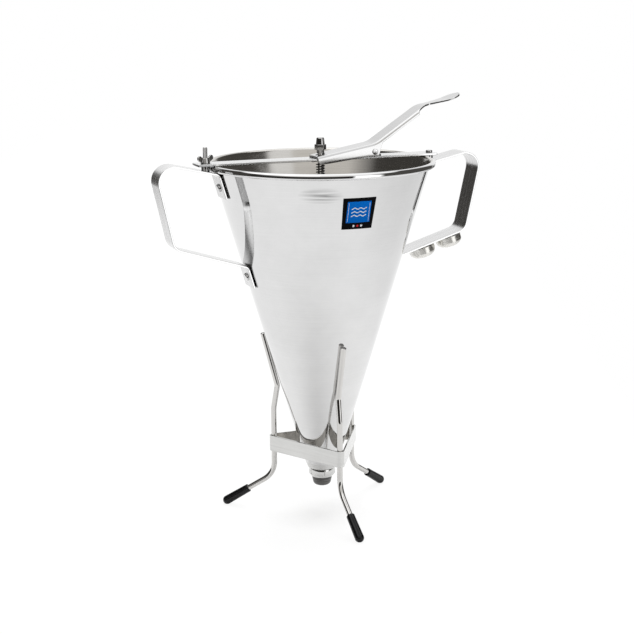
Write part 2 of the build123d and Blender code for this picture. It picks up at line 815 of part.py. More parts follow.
def make_cap():
    """Rubber cap over the end of a leg, with a small flat where it stands."""
    direction = along((0, 0), foot_fall, 1)
    tail = upright(along(foot_point, foot_fall, -cap_length), direction)
    sleeve = fillet(rod(cap_radius, cap_length).faces().sort_by(Axis.Z)[0].edges(), cap_mouth_rounding)
    sleeve += Pos(0, 0, cap_length) * Sphere(cap_radius)
    sleeve -= rod(leg_radius + weld_gap, cap_length + weld_gap)
    floor = Box(4 * foot_reach, 4 * foot_reach, foot_reach, align=(Align.CENTER, Align.CENTER, Align.MAX))
    return tail * sleeve - floor


def band_face(radius):
    """Triangle with rounded corners round circles at the three legs."""
    circles = [Rot(0, 0, turn) * Pos(leg_ring, 0) * Circle(radius) for turn in leg_turns.values()]
    edges = ShapeList()
    for circle in circles:
        edges += circle.edges()
    return make_hull(edges)


def make_band():
    """Triangular band that goes round the three legs."""
    inner = leg_radius + weld_gap
    return Pos(0, 0, band_foot) * extrude(band_face(inner + band) - band_face(inner), band_height)


def build():
    """All pieces, by node name."""
    cone = make_cone()
    for hole in rivet_holes(rivet_heights):
        cone -= hole
        cone -= mirrored_x(hole)
    handle = make_handle()
    rivets = [rivet_plane(height) * make_rivet() for height in rivet_heights]
    rivets += [mirrored_x(rivet) for rivet in rivets]
    spring, wire = make_spring()
    print("spring least gap", round(least_spring_gap(wire), 3), "pitch", round(spring_pitch, 3))
    print("spring volume over wire length", round(spring.volume / wire.length, 4),
          "wire section", round(math.pi * spring_wire ** 2 / 4, 4))
    nozzle = Pos(0, 0, socket_foot - nozzle_gap) * make_nozzle(fitted_mouth_radius, fitted_tip_length)
    pieces = {
        "funnel_cone": cone,
        "outlet_socket": make_socket(),
        "handle_right": handle,
        "handle_left": mirrored_x(handle),
        "handle_rivets": Compound(rivets),
        "crossbar": make_crossbar(),
        "clamp_stud": make_clamp_stud(),
        "clamp_collar": make_clamp_collar(),
        "hook_stud": make_hook_stud(),
        "wing_nut": make_wing_nut(),
        "pivot_bracket": make_bracket(),
        "pivot_pin": make_pivot_pin(),
        "lever": make_lever(),
        "piston_rod": make_rod(),
        "valve_plug": make_plug(),
        "spring_collar": make_collar(),
        "collar_pin": collar_pin_hole(0),
        "return_spring": spring,
        "cap_nut": make_cap_nut(),
        "nozzle": nozzle,
        "nozzle_boss_inner": make_boss(0),
        "nozzle_boss_outer": make_boss(1),
        "spare_nozzle_inner": make_spare(0),
        "spare_nozzle_outer": make_spare(1),
        "label_plate": make_label(),
        "stand_band": make_band(),
    }
    leg = make_leg()
    cap = make_cap()
    for side, turn in leg_turns.items():
        pieces["stand_leg_" + side] = Rot(0, 0, turn) * leg
        pieces["foot_cap_" + side] = Rot(0, 0, turn) * cap
    return pieces


def main():
    """Write one file per piece."""
    os.makedirs("parts", exist_ok=True)
    for name, shape in build().items():
        export_step(shape, "parts/" + name + ".step")


if __name__ == "__main__":
    main()
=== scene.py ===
import math
from typing import NamedTuple

import bmesh
import bpy
from bmesh.types import BMEdge, BMFace, BMVert
from bpy.props import FloatProperty, FloatVectorProperty, IntProperty, PointerProperty
from bpy.types import NodeSocket, Operator, Panel, PropertyGroup
from mathutils import Matrix, Vector


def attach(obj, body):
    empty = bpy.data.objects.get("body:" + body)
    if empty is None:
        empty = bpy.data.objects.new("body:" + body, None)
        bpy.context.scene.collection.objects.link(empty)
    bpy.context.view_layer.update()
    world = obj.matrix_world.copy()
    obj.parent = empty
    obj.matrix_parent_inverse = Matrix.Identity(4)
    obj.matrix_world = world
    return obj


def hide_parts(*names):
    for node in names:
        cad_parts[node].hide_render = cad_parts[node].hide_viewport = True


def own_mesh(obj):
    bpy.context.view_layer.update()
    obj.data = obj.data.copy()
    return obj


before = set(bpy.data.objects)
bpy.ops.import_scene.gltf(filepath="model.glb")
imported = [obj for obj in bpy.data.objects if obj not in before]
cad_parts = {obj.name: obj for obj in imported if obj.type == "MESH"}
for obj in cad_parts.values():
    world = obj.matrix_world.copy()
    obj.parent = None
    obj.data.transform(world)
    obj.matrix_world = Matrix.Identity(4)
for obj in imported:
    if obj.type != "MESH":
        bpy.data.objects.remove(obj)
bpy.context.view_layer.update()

bl_info = {
    "name": "Sauce Funnel",
    "version": (1, 0, 0),
    "blender": (4, 5, 0),
    "location": "3D View > Sidebar > Sauce Funnel",
    "description": "Dresses the packed sauce funnel with polished steel, rubber feet and a studio",
    "category": "Object",
}

UP = Vector((0, 0, 1))
ACROSS = Vector((0, 1, 0))
MIDDLE = Vector((0, 0, 0))
QUARTER_TURN = math.pi / 2
FULL_TURN = 2 * math.pi
LIE_DOWN = Matrix.Rotation(QUARTER_TURN, 4, "X")
SIDES = {"right": 1, "left": -1}
MERGE_DISTANCE = 1e-6

# Least cosine of a face that looks along an axis
FACING = 0.9

# Turns between two faces: up to the first they are made one, above the second their edge is a corner
FLAT_TURN = math.radians(2)
EDGE_TURN = math.radians(60)

# Steps along the lever at its nose, from the nose, and at its tip, from the tip
NOSE_STEPS = (0.0, 0.25, 0.7)
TIP_STEPS = (0.4, 0.1, 0.0)
# Rows of the lever's blank across half of the rod's slot
SLOT_ROWS = (0.0, 0.34, 0.62, 0.84, 1.0)
# How often the search for the flanges' lower edge is halved
HALVINGS = 36

# Noise of the finishes: spans of it that count, the smear's fading, the steel's clouds and gloss
NOISE_SPAN = (0.3, 0.7)
LINE_SPAN = (0.32, 0.68)
CLOUD_SPAN = (0.35, 0.65)
SKIN_SPAN = (0.4, 0.7)
SMEAR_SPAN = (0.46, 0.66)
SMEAR_FADE = (0.25, 1.0)
CLOUD_SCALE = (28, 28, 28)
CLOUD_DARK = 0.965
CLOUD_LIGHT = 1.02
CLOUD_SHARE = 0.3
NOISE_ROUGHNESS = 0.6
LEAST_ROUGHNESS = 0.02
ANISOTROPY = 0.85


# Properties


def mm(text, millimetres):
    """A length, written in millimetres."""
    return FloatProperty(
        description=text, default=millimetres / 1000, min=0.0, unit="LENGTH", precision=5,
    )


def deg(text, degrees):
    """An angle, written in degrees."""
    return FloatProperty(description=text, default=math.radians(degrees), subtype="ANGLE")


def share(text, value):
    """A number from 0 to 1."""
    return FloatProperty(description=text, default=value, min=0.0, max=1.0, subtype="FACTOR")


def colour(text, value):
    """A linear colour."""
    return FloatVectorProperty(
        description=text, default=value, min=0.0, max=1.0, size=3, subtype="COLOR",
    )


def metres(text, values):
    """Three lengths along the axes, written in metres."""
    return FloatVectorProperty(
        description=text, default=values, size=3, subtype="XYZ", unit="LENGTH",
    )


def named(group):
    """Give each property of a group the name that its attribute spells."""
    for key, value in group.__annotations__.items():
        value.keywords["name"] = key.replace("_", " ").capitalize()
    return group


@named
class EdgeSizes(PropertyGroup):
    """Roundings of turned and cut edges"""

    fine: mm("Rounding of pins, the bracket and the ring's top", 0.2)
    small: mm("Rounding of studs, rods, mouths and the band", 0.3)
    medium: mm("Rounding of the socket, the collar and the wing nut's foot", 0.4)
    broad: mm("Rounding of spares, bosses, wings and the plug's tip", 0.5)
    wide: mm("Rounding of the wing nut's top and the caps' cuffs", 0.6)


@named
class FunnelSizes(PropertyGroup):
    """Cone and rolled rim"""

    sheet: mm("Thickness of the cone's sheet", 1.0)
    rim_height: mm("Height of the middle of the rim's curl", 314.3)
    rim_radius: mm("From the axis to the middle of the rim's curl", 96.7)
    curl_flat: mm("How far the roll's front is pressed flat", 0.12)
    curl_radius: mm("Outside radius of the rolled rim", 2.7)
    curl_turn: deg("How far the rim is rolled", 270.0)
    foot_height: mm("Height of the cone's lower end", 46.0)
    foot_radius: mm("Outside radius of the cone's lower end", 14.9)
    loop_gap: mm("From the cone's ends to the loops that keep its side straight", 1.0)


@named
class OutletSizes(PropertyGroup):
    """Outlet socket and nozzles"""

    socket_foot: mm("Height of the socket's lower face", 40.6)
    socket_radius: mm("Radius of the socket's lower face", 12.8)
    spigot_radius: mm("Radius of the threads that nozzles screw onto", 9.2)
    spigot_length: mm("Length of the threads that nozzles screw onto", 4.6)
    bore_radius: mm("Radius of the outlet's bore", 5.0)
    seat_foot: mm("Height at which the valve seat runs into the bore", 38.5)
    thread_fit: mm("Clearance round a thread", 0.1)
    shoulder_gap: mm("Room under a spigot inside its nozzle", 0.4)
    nozzle_gap: mm("Groove left above a nozzle", 0.8)
    ring_radius: mm("Radius of a nozzle's grip ring", 11.8)
    ring_height: mm("Height of the fitted nozzle's grip ring", 7.8)
    ring_taper: mm("Height of the taper under the ring", 2.4)
    ring_rounding: mm("Rounding of the ring above its taper", 0.8)
    ring_step: mm("Step from the ring's taper to the tip", 0.4)
    step_rounding: mm("Rounding of the step under the ring", 0.15)
    neck_height: mm("Height of the taper on top of the ring", 2.2)
    neck_inset: mm("How far the ring narrows at its top", 0.5)
    throat_radius: mm("Radius of the fitted nozzle's bore at its top", 5.6)
    tip_radius: mm("Radius of the fitted nozzle under its ring", 9.3)
    tip_length: mm("Length of the fitted nozzle under its ring", 8.6)
    lip_radius: mm("Radius of the fitted nozzle at its mouth", 7.5)
    lip_rounding: mm("Rounding of the fitted nozzle's lip", 3.0)
    mouth_radius: mm("Radius of the fitted nozzle's mouth", 4.0)
    spare_side: mm("Height of a spare nozzle's straight side", 6.4)
    spare_height: mm("Height of a spare nozzle", 9.6)
    spare_foot_radius: mm("Radius of a spare nozzle's underside", 8.8)
    spare_rounding: mm("Rounding of a spare nozzle's underside", 1.4)
    spare_lip: mm("Rounding of a spare nozzle's mouth", 0.25)
    spare_end_gap: mm("From the handle's corner to the outer spare", 1.7)
    spare_gap: mm("Between the two spares", 3.6)
    inner_mouth_radius: mm("Mouth radius of the spare near the cone", 3.0)
    outer_mouth_radius: mm("Mouth radius of the spare near the grip", 5.0)


@named
class HandleSizes(PropertyGroup):
    """Strap handles and their rivets"""

    width: mm("Width of the straps", 23.0)
    strap: mm("Thickness of the straps", 1.5)
    edge: mm("Rounding of the straps' edges", 0.3)
    seat_gap: mm("Between a tab and the cone", 0.05)
    rim_gap: mm("Between the rim's curl and the strap under it", 0.4)
    tab_top: mm("Height of the upper tab's lower end", 289.0)
    tab_low: mm("Height of the lower tab's lower end", 211.0)
    run_rise: deg("Rise of the run under the rim", 12.6)
    grip_reach: mm("From the axis to the grip", 141.2)
    grip_height: mm("Height at which the grip's reach is taken", 280.0)
    grip_lean: deg("How far the grip leans out", 12.5)
    low_height: mm("Height of the lower run at the cone", 229.6)
    low_rise: deg("Rise of the lower run", 17.2)
    tab_bend: mm("Bend between a tab and its run", 4.5)
    top_bend: mm("Bend between the upper run and the grip", 13.2)
    low_bend: mm("Bend between the grip and the lower run", 10.5)
    rivet_inset: mm("From a tab's lower end up to its rivet", 9.0)
    rivet_radius: mm("Radius of the rivets", 2.0)
    head_radius: mm("Radius of the rivets' heads", 3.6)
    head_height: mm("Height of the rivets' heads", 1.6)
    head_rounding: mm("Rounding of the rivets' heads", 1.12)
    tail_radius: mm("Radius of the rivets' tails inside the funnel", 3.2)
    tail_height: mm("Height of the rivets' tails", 0.8)
    tail_gap: mm("Between a rivet's tail and the cone", 0.12)


@named
class CrossbarSizes(PropertyGroup):
    """Crossbar, studs and wing nut"""

    width: mm("Width of the crossbar", 18.0)
    bar: mm("Thickness of the crossbar", 2.0)
    foot: mm("Height of the crossbar's underside", 317.05)
    clamp_end: mm("From the axis to the end with the wing nut", 112.0)
    hook_end: mm("From the axis to the slotted end", 107.3)
    corner: mm("Rounding of the crossbar's corners", 1.0)
    edge: mm("Chamfer of the crossbar's edges", 0.3)
    stud_reach: mm("From the axis to each stud", 103.1)
    stud_radius: mm("Radius of the studs", 2.1)
    stud_fit: mm("Clearance round the studs in the bar", 0.05)
    slot_round: share("How round the end of the hook's slot is", 0.98)
    collar_radius: mm("Radius of the studs' collars under the bar", 3.5)
    clamp_height: mm("How far the clamp stud stands above the bar", 13.4)
    pitch: mm("Pitch of the clamp stud's thread", 0.8)
    thread: mm("Depth of the clamp stud's thread", 0.3)
    head_radius: mm("Radius of the hook stud's head", 3.0)
    head_height: mm("Height of the hook stud's head", 1.8)
    head_rounding: mm("Rounding of the hook stud's head", 0.9)
    turning_gap: mm("Clearance under the wing nut and the hook's head", 0.1)
    hub_radius: mm("Radius of the wing nut's hub", 4.2)
    hub_top_radius: mm("Radius of the hub's upper end", 3.3)
    hub_height: mm("Height of the wing nut's hub", 4.8)
    wing: mm("Thickness of the wings", 1.8)
    wing_root_reach: mm("From the nut's axis to a wing's root", 4.3)
    wing_root_height: mm("Height of a wing's root", 2.6)
    wing_root_radius: mm("Rounding of a wing's root", 2.0)
    wing_tip_reach: mm("From the nut's axis to a wing's tip", 7.0)
    wing_tip_height: mm("Height of a wing's tip", 4.2)
    wing_tip_radius: mm("Rounding of a wing's tip", 2.3)
    wing_turn: deg("How far round the wing nut stands", 31.0)


@named
class LeverSizes(PropertyGroup):
    """Thumb lever and its pivot"""

    sheet: mm("Thickness of the lever's sheet", 1.5)
    width: mm("Width of the lever's channel", 22.0)
    fold: mm("Outside radius of the lever's folds", 2.5)
    flare: deg("How far the folded flanges stand open", 3.0)
    edge: mm("Rounding of the lever's cut edges", 0.3)
    edge_limit: deg("Least turn at an edge that is rounded", 50.0)
    step: mm("Between the places at which the lever's sheet is shaped", 1.2)
    rest_gap: mm("Between the lever's nose and the crossbar", 0.3)
    nose: mm("From the axis to the lever's nose", 6.4)
    nose_to_bend: mm("From the nose to the bend", 53.7)
    channel_rise: deg("Rise of the channel over the bar", 10.1)
    bend_to_neck: mm("From the bend to the neck", 46.7)
    arm_rise: deg("Rise of the arm", 33.1)
    neck_to_pad: mm("From the neck to the pad's bend", 24.0)
    neck_rise: deg("Rise of the neck", 11.1)
    pad_run: mm("From the pad's bend to its tip", 13.4)
    pad_rise: deg("Rise of the pad", 19.5)
    bend_radius: mm("Radius of the bend between channel and arm", 20.0)
    neck_radius: mm("Radius of the bend at the neck", 15.0)
    pad_radius: mm("Radius of the bend in the pad", 25.0)
    nose_flange: mm("Depth of the flanges at the nose", 7.0)
    nose_corner: mm("Rounding of the flanges' corners at the nose", 3.0)
    lip_depth: mm("Depth of the flanges along the arm", 3.6)
    slot_half: mm("Half the width of the rod's slot", 2.8)
    slot_end: mm("From the axis to the ends of the rod's slot", 4.4)
    taper_lead: mm("From the taper's start to the neck's bend", 8.0)
    neck_trail: mm("From the neck's bend to the narrowest place", 6.6)
    neck: mm("Half the lever's width at its neck", 4.5)
    pad: mm("Half the width of the thumb pad", 9.4)
    pivot_to_bend: mm("From the pivot to the lever's bend", 0.8)
    pin_radius: mm("Radius of the pivot pin", 2.0)
    pin_floor_gap: mm("Between the pin and the bracket's floor", 0.45)
    pin_head_radius: mm("Radius of the pivot pin's heads", 2.6)
    pin_head_height: mm("Height of the pivot pin's heads", 0.8)
    side_gap: mm("Between the lever and the pin's heads", 0.2)
    ear_radius: mm("Rounding of the bracket's ears", 3.7)
    bracket_length: mm("Length of the bracket along the bar", 13.0)
    bracket_width: mm("Width of the bracket over its ears", 17.6)


@named
class PistonSizes(PropertyGroup):
    """Rod, valve plug, spring and cap nut"""

    rod_radius: mm("Radius of the piston rod", 2.5)
    rod_fit: mm("Clearance round the rod in the crossbar", 0.3)
    rod_foot: mm("Height of the rod's lower end", 38.816)
    weld_gap: mm("Clearance of pieces that are fixed on a rod", 0.02)
    plug_radius: mm("Radius of the valve plug", 8.0)
    plug_foot: mm("Height of the plug's lower face", 35.816)
    plug_tip_radius: mm("Radius of the plug's tip", 4.2)
    plug_tip_length: mm("Length of the plug's tip", 2.4)
    plug_cone: mm("Height of the plug's sealing cone", 3.218)
    plug_rim: mm("Height of the plug's rim", 1.5)
    plug_shoulder: mm("Height of the plug's shoulder", 6.0)
    plug_neck_radius: mm("Radius of the plug at its top", 4.0)
    collar_radius: mm("Radius of the spring's collar", 5.0)
    collar_height: mm("Height of the spring's collar", 5.0)
    pin_radius: mm("Radius of the collar's cross pin", 1.0)
    spring_length: mm("Length of the spring between collar and crossbar", 34.0)
    coil_radius: mm("From the axis to the middle of the spring's wire", 3.4)
    wire: mm("Thickness of the spring's wire", 1.1)
    end_bend: mm("Bend between the spring's coils and its ends", 1.6)
    turns: IntProperty(description="Number of turns of the spring", default=13, min=3)
    travel: mm("How far the piston rises", 10.8)
    lift_gap: mm("Between the lever and the cap nut", 0.3)
    nut_collar_radius: mm("Radius of the cap nut's collar", 3.4)
    nut_collar_height: mm("Height of the cap nut's collar", 3.0)
    nut_turn: deg("How far round the cap nut stands", -21.0)
    nut_flats: mm("Cap nut across its flats", 9.0)
    nut_height: mm("Height of the cap nut's hexagon", 4.6)
    nut_edge: mm("Rounding of the hexagon's edges", 0.45)
    nut_overlap: mm("How far collar and crown reach into the hexagon", 0.3)
    nut_thread: mm("How far the rod goes into the hexagon and crown", 7.5)
    crown_radius: mm("Radius of the cap nut's crown at its foot", 3.95)
    crown_top_radius: mm("Radius of the cap nut's crown at its top", 3.3)
    crown_height: mm("Height of the cap nut's crown", 5.9)
    crown_rounding: mm("Rounding of the crown's top", 1.0)


@named
class PlateSizes(PropertyGroup):
    """Plate on the front of the cone"""

    size: mm("Side of the plate", 27.6)
    height: mm("Height of the middle of the plate", 282.6)
    sheet: mm("Thickness of the plate", 0.3)
    gap: mm("Glue between the plate and the cone", 0.05)
    middle: mm("How far the field's middle lies above the plate's", 1.4)
    field_across: mm("Half the width of the field", 10.4)
    field_up: mm("Half the height of the field", 9.4)
    wave_length: mm("Length of one wave", 5.2)
    wave_swell: mm("How far the waves swell", 0.55)
    wave_gap: mm("Between two waves", 3.2)
    wave_line: mm("Half the thickness of the waves' lines", 0.42)
    wave_across: mm("Half the width of the waves", 6.6)
    rule_across: mm("From the field's middle to the outside of the rules beside it", 9.3)
    rule: mm("Thickness of the rules", 0.3)
    rule_up: mm("Half the height of the rules", 8.3)
    dot_gap: mm("Between the middles of two dots", 3.4)
    dot_drop: mm("How far the dots lie below the plate's middle", 10.9)
    dot_radius: mm("Radius of the dots", 0.975)


@named
class StandSizes(PropertyGroup):
    """Legs, band and feet"""

    leg_radius: mm("Radius of the legs' rod", 2.5)
    rest_gap: mm("Between an arm's end and the cone", 0.3)
    arm_top: mm("Height of the arms' upper ends", 162.4)
    arm_foot: mm("Height of the arms' lower bends", 114.5)
    stand_off: mm("How far an arm stands off the cone at its lower bend", 1.8)
    straight_top: mm("Height at which the uprights end", 93.0)
    knee: mm("Height of the bends to the feet", 31.5)
    splay: mm("How far the feet stand out from the uprights", 44.4)
    arm_bend: mm("Radius of the arms' bends", 8.0)
    shoulder_bend: mm("Radius of the bends on top of the uprights", 16.0)
    knee_bend: mm("Radius of the bends to the feet", 20.0)
    end_chamfer: mm("Chamfer of the arms' upper ends", 0.5)
    band: mm("Thickness of the triangular band", 1.5)
    band_foot: mm("Height of the band's lower edge", 53.5)
    band_height: mm("Height of the band", 14.5)
    band_gap: mm("Between the band and the cone", 2.86)
    band_fit: mm("Between the band and the legs", 0.02)
    cap_radius: mm("Outside radius of the rubber caps", 3.7)
    cap_length: mm("Length of a rubber cap's sleeve", 22.0)
    cap_cuff: mm("How far a cap's thin cuff reaches up the leg", 2.0)
    cap_start: mm("From a sleeve's mouth to where it thickens to its toe", 1.6)
    cap_toe: mm("Radius of a cap's thicker toe", 4.05)
    cap_flat: mm("How much of a cap's toe is cut flat by the floor", 0.25)
    front_leg: deg("Direction of the front leg", -90.0)


@named
class Finishes(PropertyGroup):
    """Colours of the finishes, and the smear on the cone"""

    steel: colour("Polished stainless steel", (0.71, 0.71, 0.71))
    inside: colour("Brushed steel inside the funnel", (0.60, 0.585, 0.56))
    satin: colour("Satin turned steel of the spare nozzles", (0.80, 0.79, 0.755))
    # Darker than the band's outside: painted shade of the narrow space between band and cone
    band_inside: colour("Inner side of the stand's band", (0.33, 0.315, 0.29))
    rod: colour("Drawn rod of the legs and the piston", (0.63, 0.62, 0.605))
    lever: colour("Brushed steel of the lever", (0.60, 0.60, 0.60))
    bright_steel: colour("Turned stainless steel", (0.63, 0.63, 0.62))
    dark_steel: colour("Plated nuts and studs", (0.46, 0.455, 0.45))
    # This dark colour is also painted shade: on the fitted nozzle's tip, and on the lever's bracket
    spring: colour("Wire of the return spring", (0.13, 0.128, 0.125))
    rubber: colour("Dipped black rubber", (0.004, 0.004, 0.0045))
    plate_black: colour("Border of the plate", (0.004, 0.004, 0.005))
    plate_blue: colour("Field of the plate", (0.001, 0.15, 0.61))
    plate_white: colour("Lines on the plate", (0.85, 0.88, 0.92))
    plate_red: colour("Dot on the plate", (0.62, 0.03, 0.035))
    smear_place: metres("Middle of the smear on the cone's front", (-0.033, -0.0852, 0.2985))
    smear_size: metres("Reach of the smear along, into and up the cone", (0.019, 0.06, 0.0075))
    smear_turn: deg("How far round the smear lies", -21.0)
    smear_gain: share("Brightness of the smear's lines beside the steel's", 0.42)


@named
class StageSettings(PropertyGroup):
    """Camera and studio"""

    azimuth: deg("How far round to the left the camera stands", 21.14)
    distance: mm("From the axis to the camera, on the floor", 1246.78)
    height: mm("Height of the camera", 464.77)
    pitch: deg("How far the camera looks up", -12.943)
    yaw: deg("How far the camera looks to its right", -0.170)
    roll: deg("How far the camera leans", -0.328)
    lens: FloatProperty(description="Focal length in millimetres", default=82.34, min=1.0)
    floor: colour("Floor and background", (0.88, 0.88, 0.88))
    floor_width: mm("Width of the floor", 1700.0)
    floor_depth: mm("Depth of the floor", 4000.0)
    floor_back: mm("How far the floor's middle lies behind the object", 1500.0)
    lamp_width: mm("Width of the lamp overhead", 1400.0)
    lamp_depth: mm("Depth of the lamp overhead", 1000.0)
    lamp_power: FloatProperty(description="Power in watts", default=18.0, min=0.0)
    lamp_place: metres("Place of the lamp overhead", (0.7, 0.8, 1.6))
    lamp_aim: mm("Height on the axis at which the lamp is aimed", 200.0)
    softbox: FloatProperty(
        description="Brightness of the lights overhead", default=1.65, min=0.0,
    )
    studio_dark: colour("The unlit room round the studio", (0.060, 0.057, 0.053))
    studio_mid: colour("The wall above the camera", (0.79, 0.77, 0.74))


@named
class FunnelSettings(PropertyGroup):
    """All settings of the sauce funnel"""

    edges: PointerProperty(type=EdgeSizes)
    funnel: PointerProperty(type=FunnelSizes)
    outlet: PointerProperty(type=OutletSizes)
    handles: PointerProperty(type=HandleSizes)
    crossbar: PointerProperty(type=CrossbarSizes)
    lever: PointerProperty(type=LeverSizes)
    piston: PointerProperty(type=PistonSizes)
    plate: PointerProperty(type=PlateSizes)
    stand: PointerProperty(type=StandSizes)
    finishes: PointerProperty(type=Finishes)
    stage: PointerProperty(type=StageSettings)


# Modelling helpers


def wire(points, closed=True):
    """A bmesh with a few vertices joined by edges, from (radius, height) points."""
    bm = bmesh.new()
    verts = [bm.verts.new((x, 0, z)) for x, z in points]
    ends = verts[1:] + verts[:1] if closed else verts[1:]
    for a, b in zip(verts, ends):
        bm.edges.new((a, b))
    return bm, verts


def round_corner(bm, vert, size, segments=5):
    """Round one corner of a wire or of a flat outline."""
    bmesh.ops.bevel(
        bm, geom=[vert], offset=size, segments=segments, profile=0.5, affect="VERTICES", material=-1,
    )


def turn_round(bm, steps):
    """Spin everything in a bmesh once round the Z axis."""
    bmesh.ops.spin(
        bm, geom=bm.verts[:] + bm.edges[:], cent=MIDDLE, axis=UP, angle=FULL_TURN, steps=steps,
        use_merge=True,
    )


def turned(points, rounded=None, steps=96, closed=True):
    """A turned shape from its (radius, height) profile, with some corners rounded."""
    bm, verts = wire(points, closed)
    for index, size in (rounded or {}).items():
        round_corner(bm, verts[index], size)
    turn_round(bm, steps)
    return bm


def round_bar(radius, low, high, rounded, steps):
    """A solid round bar along Z, with its low corner (1) and its high one (2) rounded."""
    return turned([(0, low), (radius, low), (radius, high), (0, high)], rounded, steps, closed=False)


def sleeve(inner, outer, low, high, rounded, steps):
    """A sleeve along Z, with its outer low corner (1) and high one (2) rounded."""
    return turned([(inner, low), (outer, low), (outer, high), (inner, high)], rounded, steps)


def facing(origin, across, ahead):
    """Matrix that puts X along one direction and Z along another, at a point."""
    z = ahead.normalized()
    y = z.cross(across).normalized()
    matrix = Matrix((y.cross(z), y, z)).transposed().to_4x4()
    matrix.translation = origin
    return matrix


def shift(bm, matrix):
    """Move all of a bmesh."""
    bmesh.ops.transform(bm, matrix=matrix, verts=bm.verts[:])
    return bm


def mirror(bm, side):
    """Mirror a bmesh that was built at the right, where it belongs to the left side."""
    return shift(bm, Matrix.Diagonal((side, 1, 1, 1)))


def take_in(bm, other):
    """Add another bmesh's shape to this one."""
    scrap = bpy.data.meshes.new("scrap")
    other.to_mesh(scrap)
    other.free()
    bm.from_mesh(scrap)
    bpy.data.meshes.remove(scrap)
    return bm


def only(kind, geom):
    """The verts, edges or faces among some geometry."""
    return [g for g in geom if isinstance(g, kind)]


def push(bm, edges, step):
    """Extrude a loop of edges straight ahead."""
    made = bmesh.ops.extrude_edge_only(bm, edges=edges)["geom"]
    bmesh.ops.translate(bm, verts=only(BMVert, made), vec=step)
    return [e for e in only(BMEdge, made) if e.is_boundary]


def swing(bm, edges, centre, axis, turn, steps, lift=MIDDLE):
    """Spin a loop of edges round an axis, with a lift at each step."""
    verts = list({v for e in edges for v in e.verts})
    made = bmesh.ops.spin(
        bm, geom=verts + edges, cent=centre, axis=axis, dvec=lift, angle=turn, steps=steps,
    )
    return only(BMEdge, made["geom_last"])


def carry(bm, edges, points, bends, steps=14):
    """Carry a loop of edges along straight runs and round the bends between them."""
    here = points[0]
    for corner, after, radius in zip(points[1:], points[2:], bends):
        ahead = (corner - here).normalized()
        onward = (after - corner).normalized()
        turn = ahead.angle(onward)
        reach = radius * math.tan(turn / 2)
        bend_start = corner - ahead * reach
        edges = push(bm, edges, bend_start - here)
        axis = ahead.cross(onward).normalized()
        edges = swing(bm, edges, bend_start + axis.cross(ahead) * radius, axis, turn, steps)
        here = corner + onward * reach
    return push(bm, edges, points[-1] - here)


def strip_section(width, thickness, edge, place):
    """A flat bar's cross-section with rounded edges, as the first face of a bmesh."""
    bm = bmesh.new()
    made = bmesh.ops.create_grid(bm, x_segments=1, y_segments=1, size=0.5)
    bmesh.ops.scale(bm, verts=made["verts"], vec=(width, thickness, 1))
    bmesh.ops.bevel(
        bm, geom=made["verts"], offset=edge, segments=4, profile=0.5, affect="VERTICES", material=-1,
    )
    return shift(bm, place)


def rod_section(radius, place, segments=40):
    """A round rod's cross-section, as the first face of a bmesh."""
    bm = bmesh.new()
    bmesh.ops.create_circle(bm, cap_ends=True, radius=radius, segments=segments)
    return shift(bm, place)


def run_out(bm, points, bends, steps=14):
    """Carry a bmesh's first face along a line and close the far end."""
    last = carry(bm, bm.edges[:], points, bends, steps)
    bmesh.ops.edgeloop_fill(bm, edges=last)
    return bm


def cut_away(bm, point, normal):
    """Cut off what lies beyond a plane, and close the cut."""
    geom = bm.verts[:] + bm.edges[:] + bm.faces[:]
    cut = bmesh.ops.bisect_plane(
        bm, geom=geom, dist=MERGE_DISTANCE / 10, plane_co=point, plane_no=normal, clear_outer=True,
    )
    edges = only(BMEdge, cut["geom_cut"])
    bmesh.ops.triangle_fill(bm, edges=edges, use_beauty=True, use_dissolve=False, normal=normal)
    return bm


def plate(outline, thickness, chamfer, rounded=None, holes=()):
    """A flat plate lying on z = 0, from its outline and its round holes, with chamfered edges."""
    bm = bmesh.new()
    verts = [bm.verts.new((x, y, 0)) for x, y in outline]
    for a, b in zip(verts, verts[1:] + verts[:1]):
        bm.edges.new((a, b))
    for index, size in (rounded or {}).items():
        round_corner(bm, verts[index], size, 8)
    for x, y, radius in holes:
        bmesh.ops.create_circle(bm, radius=radius, segments=40, matrix=Matrix.Translation((x, y, 0)))
    bmesh.ops.triangle_fill(bm, edges=bm.edges[:], use_beauty=True, use_dissolve=False, normal=UP)
    bmesh.ops.translate(bm, verts=bm.verts[:], vec=UP * chamfer)
    low = bm.faces[:]
    made = bmesh.ops.extrude_face_region(bm, geom=low, use_keep_orig=True)["geom"]
    bmesh.ops.translate(bm, verts=only(BMVert, made), vec=UP * (thickness - 2 * chamfer))
    bmesh.ops.recalc_face_normals(bm, faces=bm.faces[:])
    for faces in (low, only(BMFace, made)):
        level = [f for f in faces if f.is_valid and abs(f.normal.z) > FACING]
        bmesh.ops.inset_region(bm, faces=level, thickness=chamfer, depth=chamfer, use_even_offset=True)
    return bm


def hull(circles, thickness, edge):
    """A plate in the XZ plane round some circles (x, z, radius), with rounded edges."""
    bm = bmesh.new()
    for side in (-thickness / 2, thickness / 2):
        for x, z, radius in circles:
            place = Matrix.Translation((x, side, z)) @ LIE_DOWN
            bmesh.ops.create_circle(bm, radius=radius, segments=32, matrix=place)
    made = bmesh.ops.convex_hull(bm, input=bm.verts[:])
    loose = made["geom_interior"] + made["geom_unused"]
    bmesh.ops.delete(bm, geom=only(BMVert, loose), context="VERTS")
    bmesh.ops.dissolve_limit(bm, angle_limit=FLAT_TURN, verts=bm.verts[:], edges=bm.edges[:])
    rims = [e for e in bm.edges if e.calc_face_angle(0) > EDGE_TURN]
    bmesh.ops.bevel(
        bm, geom=rims, offset=edge, segments=3, profile=0.5, affect="EDGES", material=-1, clamp_overlap=True,
    )
    return bm


def toward_axis(face):
    """Whether a face looks toward the upright axis."""
    return face.normal.xy.dot(face.calc_center_median().xy) < 0


def cut_edge(face):
    """Whether a face is the side of a strip that lies across the handles."""
    return abs(face.normal.y) > FACING


